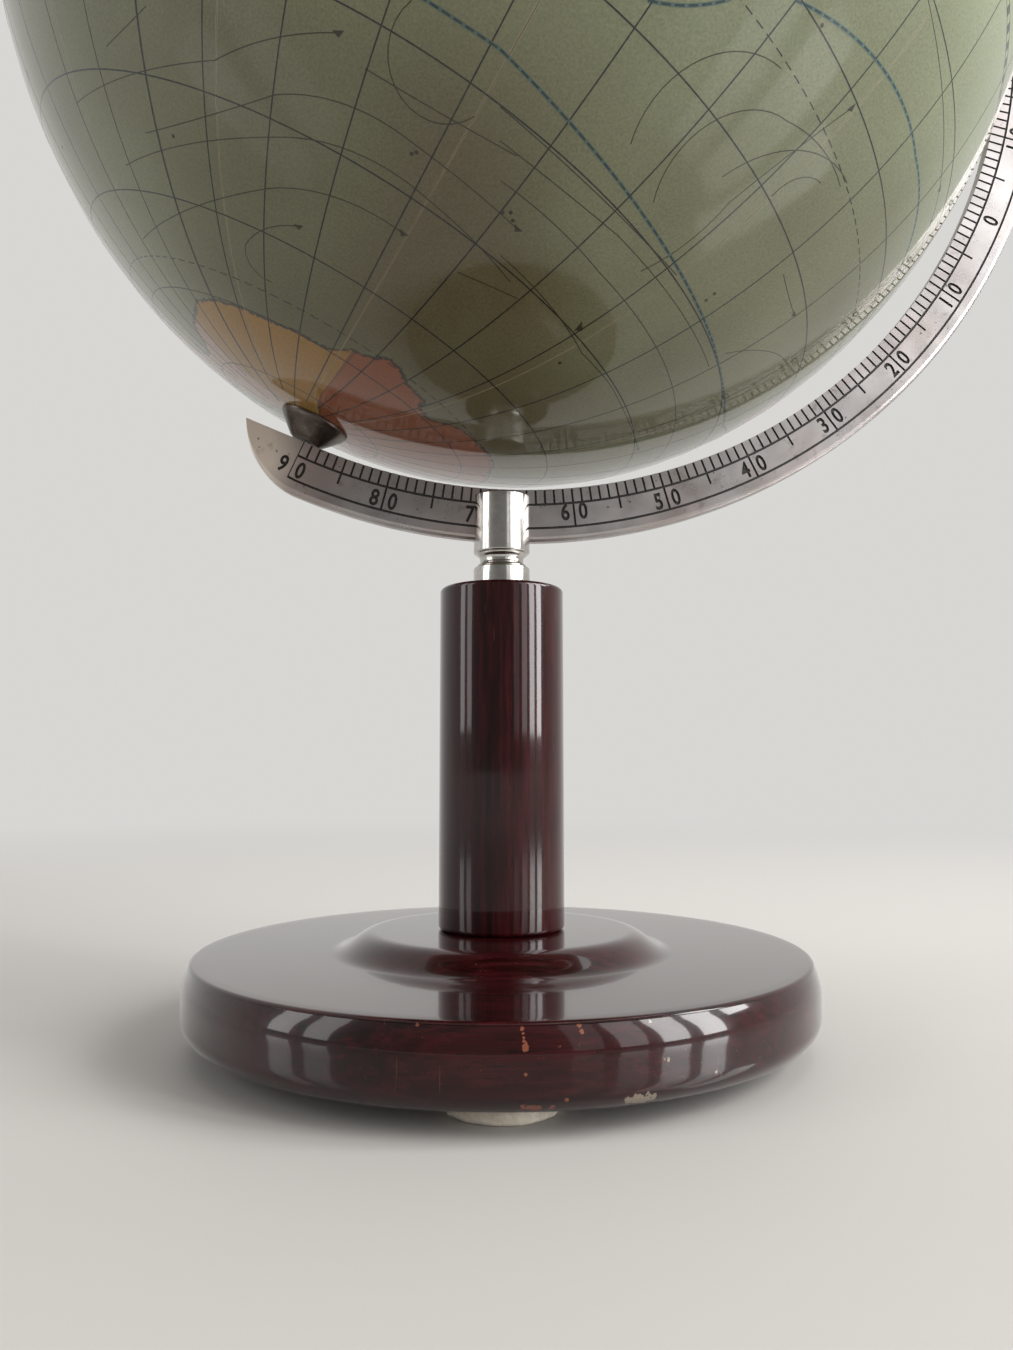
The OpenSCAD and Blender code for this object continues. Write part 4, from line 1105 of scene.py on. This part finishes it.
def lacqueredWood(name, stretch, level, chips=()):
    # mahogany-stained wood under thick clear lacquer: dark streaks deep under a mirror-like coat
    lacquer = {"Coat Weight": 1.0, "Coat Roughness": 0.05, "Coat IOR": 1.38}
    material, tree, shader = newMaterial(name, {"Roughness": 0.2, "Specular IOR Level": level, **lacquer})
    look = woodLook
    fine = {"size": look["grain"], "detail": 6, "roughness": 0.6, "stretch": stretch}
    # hairline scratches are long thin noise lying at a slant
    scratches = {"size": 0.3, "detail": 1, "stretch": (1, 1, 0.03), "turn": (0.3, 0.9, 0.2)}
    colour = paintLayers(tree, look["dark"], [
        (look["middle"], {"size": 6, "detail": 3, "stretch": stretch}, (0.35, 0.68)),
        (look["light"], fine, (0.42, 0.75, 0, 0.75)),
        (look["pore"], {"size": 0.45, "detail": 2, "stretch": stretch}, (0.62, 0.7, 0, 0.7)),
        (look["scratch"], scratches, (0.76, 0.8, 0, 0.3))])
    if chips:
        colour = chipped(tree, colour, chips)
    feed(tree, colour, shader, "Base Color")
    addRelief(tree, shader, {"size": 9, "detail": 2}, 0.06, 0.35, "Coat Normal")
    addRelief(tree, shader, fine, 0.01, 0.4)
    return material


alongGrain = 1 / woodLook["grainLength"]
plateWood = lacqueredWood("lacquered mahogany-stained plate", (alongGrain, 1, 1), 0.12, woodLook["chips"])
postWood = lacqueredWood("lacquered mahogany-stained post", (1, 1, alongGrain), 0.08)
plateLook = {
    "foot": 3.5, "rimRadius": 58.0, "rimTop": 15.9, "topEdge": 0.9, "shoulder": 1.0, "underEdge": 3.7,  # mm
    "swell": 9.5, "swellTurn": 30,  # radius of the rim's swell, and how many degrees it leans in at its top
    "swellHigh": 10.6, "swellLow": 8.6, "bossStart": 23.5, "bossEnd": 32.5, "bossTop": 19.4,
    "recess": 12.0, "recessTop": 11.5, "recessEdge": 0.3, "rodHole": 2.8,
    "tenonHole": 7.55, "tenonFloor": 15.75,
}
postLook = {"foot": 19.4, "top": 84.5, "radius": 12.0, "edge": 0.9, "tenon": 7.5, "tenonFoot": 15.8,
            "socket": 4.05, "socketFloor": 78.45, "hole": 2.8}  # mm


def plateOutline(foot, rimRadius, rimTop, topEdge, shoulder, underEdge, swell, swellTurn, swellHigh, swellLow,
                 bossStart, bossEnd, bossTop, recess, recessTop, recessEdge, rodHole, tenonHole, tenonFloor):
    # from the recess in the underside up through the middle, over the boss and round the rim,
    # with rings in between on the flat parts, so that no face is long and thin
    points = [(recess, foot + recessEdge), (recess, recessTop), (rodHole, recessTop), (rodHole, tenonFloor)]
    points += [(tenonHole, tenonFloor)] + [(r, bossTop) for r in (tenonHole, 12, 17, 21)]
    for i in range(17):  # the boss rolls over and runs out into the plate in one soft curve
        t = i / 16
        drop = t * t * t * (10 - 15 * t + 6 * t * t)
        points.append((bossStart + (bossEnd - bossStart) * t, rimTop + (bossTop - rimTop) * (1 - drop)))
    points += [(r, rimTop) for r in (37, 43, 49, 54)]
    points += roundedCorner((rimRadius - shoulder - topEdge, rimTop - topEdge), topEdge, 90, 32, 5)
    points += roundedCorner((rimRadius - swell, swellHigh), swell, swellTurn, 0, 9)
    points += [(rimRadius, (swellHigh + swellLow) / 2), (rimRadius, swellLow)]
    points += roundedCorner((rimRadius - underEdge, foot + underEdge), underEdge, 0, -90, 12)
    points += [(r, foot) for r in (48, 40, 30, 20, recess + recessEdge)]
    return points


def postOutline(foot, top, radius, edge, tenon, tenonFoot, socket, socketFloor, hole):
    # from the tenon's hole up the outside and down into the socket
    points = [(hole, tenonFoot), (tenon, tenonFoot), (tenon, foot)]
    points += roundedCorner((radius - edge, foot + edge), edge, -90, 0, 6)
    points += [(radius, z) for z in range(26, 77, 10)]
    points += roundedCorner((radius - edge, top - edge), edge, 0, 90, 8)
    points += [(socket, top), (socket, socketFloor), (hole, socketFloor)]
    return points


bm = lathe(plateOutline(**plateLook), 360)
finishPiece(bm, "lacquered_plate", "stand", [plateWood], ["base_plate"], sharpFrom=40)
bm = lathe(postOutline(**postLook), 192)
finishPiece(bm, "lacquered_post", "stand", [postWood], ["post"], sharpFrom=40)


print("stage 8: felt feet")
feltLook = {
    "radius": 9.25, "height": 3.5, "edge": 1.0, "topEdge": 0.5,  # mm
    "ring": 41.35, "turns": (-93, 27, 147),  # mm from the post's axis, and degrees
    "swelling": (0.25, 0.25), "swellFrom": 7.3, "swellGrain": 900,  # mm, and features per metre
}
# pressed wool felt: matt, soft and mottled, with fine stray fibres
wool = {"Roughness": 0.95, "Specular IOR Level": 0.2, "Sheen Weight": 0.4, "Sheen Roughness": 0.6}
woolFelt = mottledMaterial(
    "pressed wool felt", wool, "#e2d9c3",
    [("#f6f0e2", {"size": 1.1, "detail": 5, "roughness": 0.7}, (0.35, 0.68)),
     ("#94897a", {"size": 6, "detail": 3}, (0.5, 0.75, 0, 0.25))],
    reliefs=[({"size": 0.5, "detail": 5, "roughness": 0.7}, 0.15, 0.9)])
radius, height, edge, topEdge = (feltLook[key] for key in ("radius", "height", "edge", "topEdge"))
outline = [(r, 0) for r in (0, 2.5, 4.5, 6, 7.2)]
outline += roundedCorner((radius - edge, edge * 0.87), edge, -60, 0, 5)
outline += [(radius - 0.03, 1.9)] + roundedCorner((radius - topEdge, height - topEdge), topEdge, 0, 90, 4)
outline += [(r, height) for r in (7, 4, 0)]
for i, turn in enumerate(feltLook["turns"]):
    bm = lathe(outline, 96, closed=False)
    spot = Vector((math.cos(math.radians(turn)), math.sin(math.radians(turn)), 0)) * feltLook["ring"] * mm
    least, swing = feltLook["swelling"]
    for v in bm.verts:
        # wool swells unevenly, only inwards from the cut size
        outward = Vector((v.co.x, v.co.y, 0))
        if outward.length > feltLook["swellFrom"] * mm:
            uneven = noise.noise(v.co * feltLook["swellGrain"] + spot * 70)
            v.co -= outward.normalized() * (least + swing * uneven) * mm
    bmesh.ops.translate(bm, vec=spot, verts=bm.verts)
    finishPiece(bm, f"wool_foot_{i + 1}", "stand", [woolFelt], [f"felt_foot_{i + 1}"])


print("stage 9: pole caps")
capLook = {  # mm along and across the globe's axis
    "radius": 6.75, "tip": 3.0, "lip": 0.6, "seat": 97.817, "top": 102.2, "bore": 0.85,
    "hollow": 4.6, "hollowTop": 98.55, "seatRadius": 98.05, "rings": 11,
}
# burnished steel gone brown-black: soft dark sheen with turning rings
browned = {"size": 3, "detail": 5}
gunmetal = mottledMaterial(
    "browned gunmetal", {"Metallic": 1.0}, "#6d655f",
    [("#4c4541", browned, (0.35, 0.7)), ("#948a82", {"size": 0.7, "detail": 4}, (0.6, 0.75, 0, 0.6))],
    dulling=(browned, (0.3, 0.7, 0.26, 0.42)), reliefs=[({"size": 0.35, "detail": 3}, 0.01, 0.7)])


def capOutline(radius, tip, lip, seat, top, bore, hollow, hollowTop, seatRadius, rings):
    # a cone with a lip, hollowed to sit on the ball, with fine turning rings down its side
    points = [(bore, top), (tip - 0.25, top), (tip, top - 0.2)]
    side = top - seat - lip
    slope = (radius - tip) / side
    for i in range(1, rings + 1):
        h = top - 0.2 - (side - 0.35) * i / (rings + 1)
        points += [(tip + slope * (top - h) - 0.02, h + 0.05), (tip + slope * (top - h) - 0.05, h)]
    points += [(radius - 0.12, seat + lip + 0.04), (radius, seat + lip - 0.1), (radius, seat + 0.08)]
    points += [(r, math.sqrt(seatRadius ** 2 - r * r)) for r in (6.6, 6.0, 5.2, hollow)]
    points += [(hollow, hollowTop), (bore, hollowTop)]
    return points


for pole, flip in (("south", math.pi), ("north", 0)):
    bm = lathe(capOutline(**capLook), 160)
    bmesh.ops.rotate(bm, cent=(0, 0, 0), matrix=Matrix.Rotation(flip, 3, "X"), verts=bm.verts)
    bmesh.ops.transform(bm, matrix=ballPlace, verts=bm.verts)
    finishPiece(bm, f"dark_cap_{pole}", "ball", [gunmetal], [f"pole_cap_{pole}"], sharpFrom=30)


print("stage 10: tie rod, washers and nut")
rodLook = {
    "radius": 2.5, "core": 2.1, "bottom": 4.1, "top": 93.0, "edge": 0.3,  # mm
    "threadTop": 14.0, "pitch": 0.8,
}
washerLook = {"inner": 2.6, "outer": 7.5, "low": 10.3, "high": 11.5, "edge": 0.15}
springLook = {"inner": 2.6, "outer": 4.5, "low": 9.1, "high": 10.3, "edge": 0.1, "slit": 1.0, "rise": 0.2}
nutLook = {"acrossFlats": 8.0, "bore": 2.55, "low": 5.1, "high": 9.1, "edge": 0.3}
# zinc-plated steel: greyish with a cloudy spangle
spangle = {"size": 2.2, "detail": 4}
zincSteel = mottledMaterial(
    "zinc-plated steel", {"Metallic": 1.0}, "#a3a5a4", [("#7f8285", spangle, (0.35, 0.65))],
    dulling=(spangle, (0.3, 0.7, 0.3, 0.5)), reliefs=[({"size": 0.4, "detail": 3}, 0.01, 0.6)])
# spring steel, blued and oiled: dark, with bluish clouds
blued = {"size": 1.6, "detail": 4}
springSteel = mottledMaterial(
    "oiled spring steel", {"Metallic": 1.0}, "#6c6a68", [("#47464a", blued, (0.35, 0.65))],
    dulling=(blued, (0.3, 0.7, 0.22, 0.4)))


def threadedRod(radius, core, bottom, top, threadTop, pitch, edge):
    # the rod's lower end is turned down to the thread's core, and one ridge is wound up round that
    points = [(0, bottom + 0.05), (core - edge, bottom), (core, bottom + edge), (core, threadTop)]
    points += [(radius, threadTop + 0.4), (radius, top - edge), (radius - edge, top), (0, top)]
    rod = lathe(points, 64, closed=False)
    ridge = ((core - 0.1, 0.06), (radius - 0.05, 0.38), (radius - 0.05, 0.46), (core - 0.1, 0.78))
    thread = bmesh.new()
    loop = outlineLoop(thread, [(r, bottom + z) for r, z in ridge])
    turns = int((threadTop - bottom - 0.9) / pitch)
    steps = 32  # in each turn
    bmesh.ops.spin(thread, geom=loop, axis=(0, 0, 1), cent=(0, 0, 0), dvec=(0, 0, pitch / steps * mm),
                   angle=turns * fullTurn, steps=turns * steps)
    bmesh.ops.holes_fill(thread, edges=openEdges(thread), sides=4)
    bmesh.ops.recalc_face_normals(thread, faces=thread.faces)
    joinInto(rod, thread)
    return rod


def washerOutline(inner, outer, low, high, edge):
    points = [(inner, low), (outer - edge, low), (outer, low + edge)]
    points += [(outer, high - edge), (outer - edge, high), (inner, high)]
    return points


def springWasher(inner, outer, low, high, edge, slit, rise):
    # a ring split at one place, whose end rises over its start
    bm = bmesh.new()
    loop = outlineLoop(bm, washerOutline(inner, outer, low, high - rise, edge))
    gap = slit / outer  # radians
    steps = 80
    bmesh.ops.rotate(bm, cent=(0, 0, 0), matrix=Matrix.Rotation(gap / 2, 3, "Z"), verts=bm.verts)
    bmesh.ops.spin(bm, geom=loop, axis=(0, 0, 1), cent=(0, 0, 0), dvec=(0, 0, rise / steps * mm),
                   angle=fullTurn - gap, steps=steps)
    bmesh.ops.holes_fill(bm, edges=openEdges(bm), sides=0)
    bmesh.ops.recalc_face_normals(bm, faces=bm.faces)
    return bm


def hexagonNut(acrossFlats, bore, low, high, edge):
    # a six-sided block, bored and chamfered by a turned form
    corner = acrossFlats / 2 / math.cos(math.radians(30))
    chamfer = corner - acrossFlats / 2 + 0.25
    block = bmesh.new()
    addPrism(block, 6, corner, high - low, Matrix.Translation((0, 0, (low + high) / 2 * mm)))
    over, drop = corner + 0.05, chamfer * 0.55
    points = [(bore + edge, low), (over - chamfer, low), (over, low + drop), (over, high - drop)]
    points += [(over - chamfer, high), (bore + edge, high), (bore, high - edge), (bore, low + edge)]
    return carve(block, lathe(points, 96), "INTERSECT")


bm = threadedRod(**rodLook)
finishPiece(bm, "threaded_rod", "stand", [zincSteel], ["tie_rod"], sharpFrom=30)
bm = lathe(washerOutline(**washerLook), 96)
finishPiece(bm, "flat_washer", "stand", [zincSteel], ["rod_washer"], sharpFrom=30)
bm = springWasher(**springLook)
finishPiece(bm, "split_washer", "stand", [springSteel], ["spring_washer"], sharpFrom=30)
bm = hexagonNut(**nutLook)
finishPiece(bm, "hexagon_nut", "stand", [zincSteel], ["rod_nut"], sharpFrom=35)


print("stage 11: parts inside the ball")
alongAxis = (0, -axisTilt, 0)


def dressNodes(material, *names):
    # gives a part that stays as packed its better material
    for name in names:
        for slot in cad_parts[name].material_slots:
            slot.material = material


# pressed paper board: dull grey-brown with fibres pressed flat
pressedBoard = mottledMaterial(
    "pressed paper board", {"Roughness": 0.9, "Specular IOR Level": 0.3}, "#8a7f6c",
    [("#a89c86", {"size": 3, "detail": 6, "roughness": 0.7}, (0.3, 0.7))],
    reliefs=[({"size": 0.9, "detail": 5}, 0.08, 0.7)])
dressNodes(pressedBoard, "shell_south", "shell_north", "equator_hoop")
# turned beech: pale, close grain with short dark flecks
grain = {"size": 0.8, "detail": 5, "stretch": (1, 1, 0.08), "turn": alongAxis}
flecks = {"size": 0.4, "detail": 1, "stretch": (1, 1, 0.3), "turn": alongAxis}
beech = mottledMaterial(
    "turned beech", {"Roughness": 0.6}, "#c89f6e",
    [("#e0bd8c", grain, (0.3, 0.7)), ("#94653c", flecks, (0.68, 0.74, 0, 0.7))], reliefs=[(grain, 0.03, 0.5)])
dressNodes(beech, "spindle", "pole_block_south", "pole_block_north")
# drawn steel pins, polished by running: bright, with fine lines along them
drawn = {"size": 0.3, "detail": 3, "stretch": (1, 1, 0.05), "turn": alongAxis}
drawnSteel = mottledMaterial(
    "drawn steel", {"Metallic": 1.0}, "#b4b4b1", [("#8d8e8f", drawn, (0.3, 0.7))],
    dulling=(drawn, (0.3, 0.7, 0.18, 0.34)))
dressNodes(drawnSteel, "pole_pin_south", "pole_pin_north")
# rolled brass, a little browned: yellow, with brown clouds
aged = {"size": 1.5, "detail": 4}
brass = mottledMaterial(
    "rolled brass", {"Metallic": 1.0}, "#c9a75a", [("#8a6c35", aged, (0.35, 0.7))],
    dulling=(aged, (0.3, 0.7, 0.25, 0.45)))
dressNodes(brass, "pole_eyelet_south", "pole_eyelet_north")

bpy.context.view_layer.update()
print("stage 12: done")
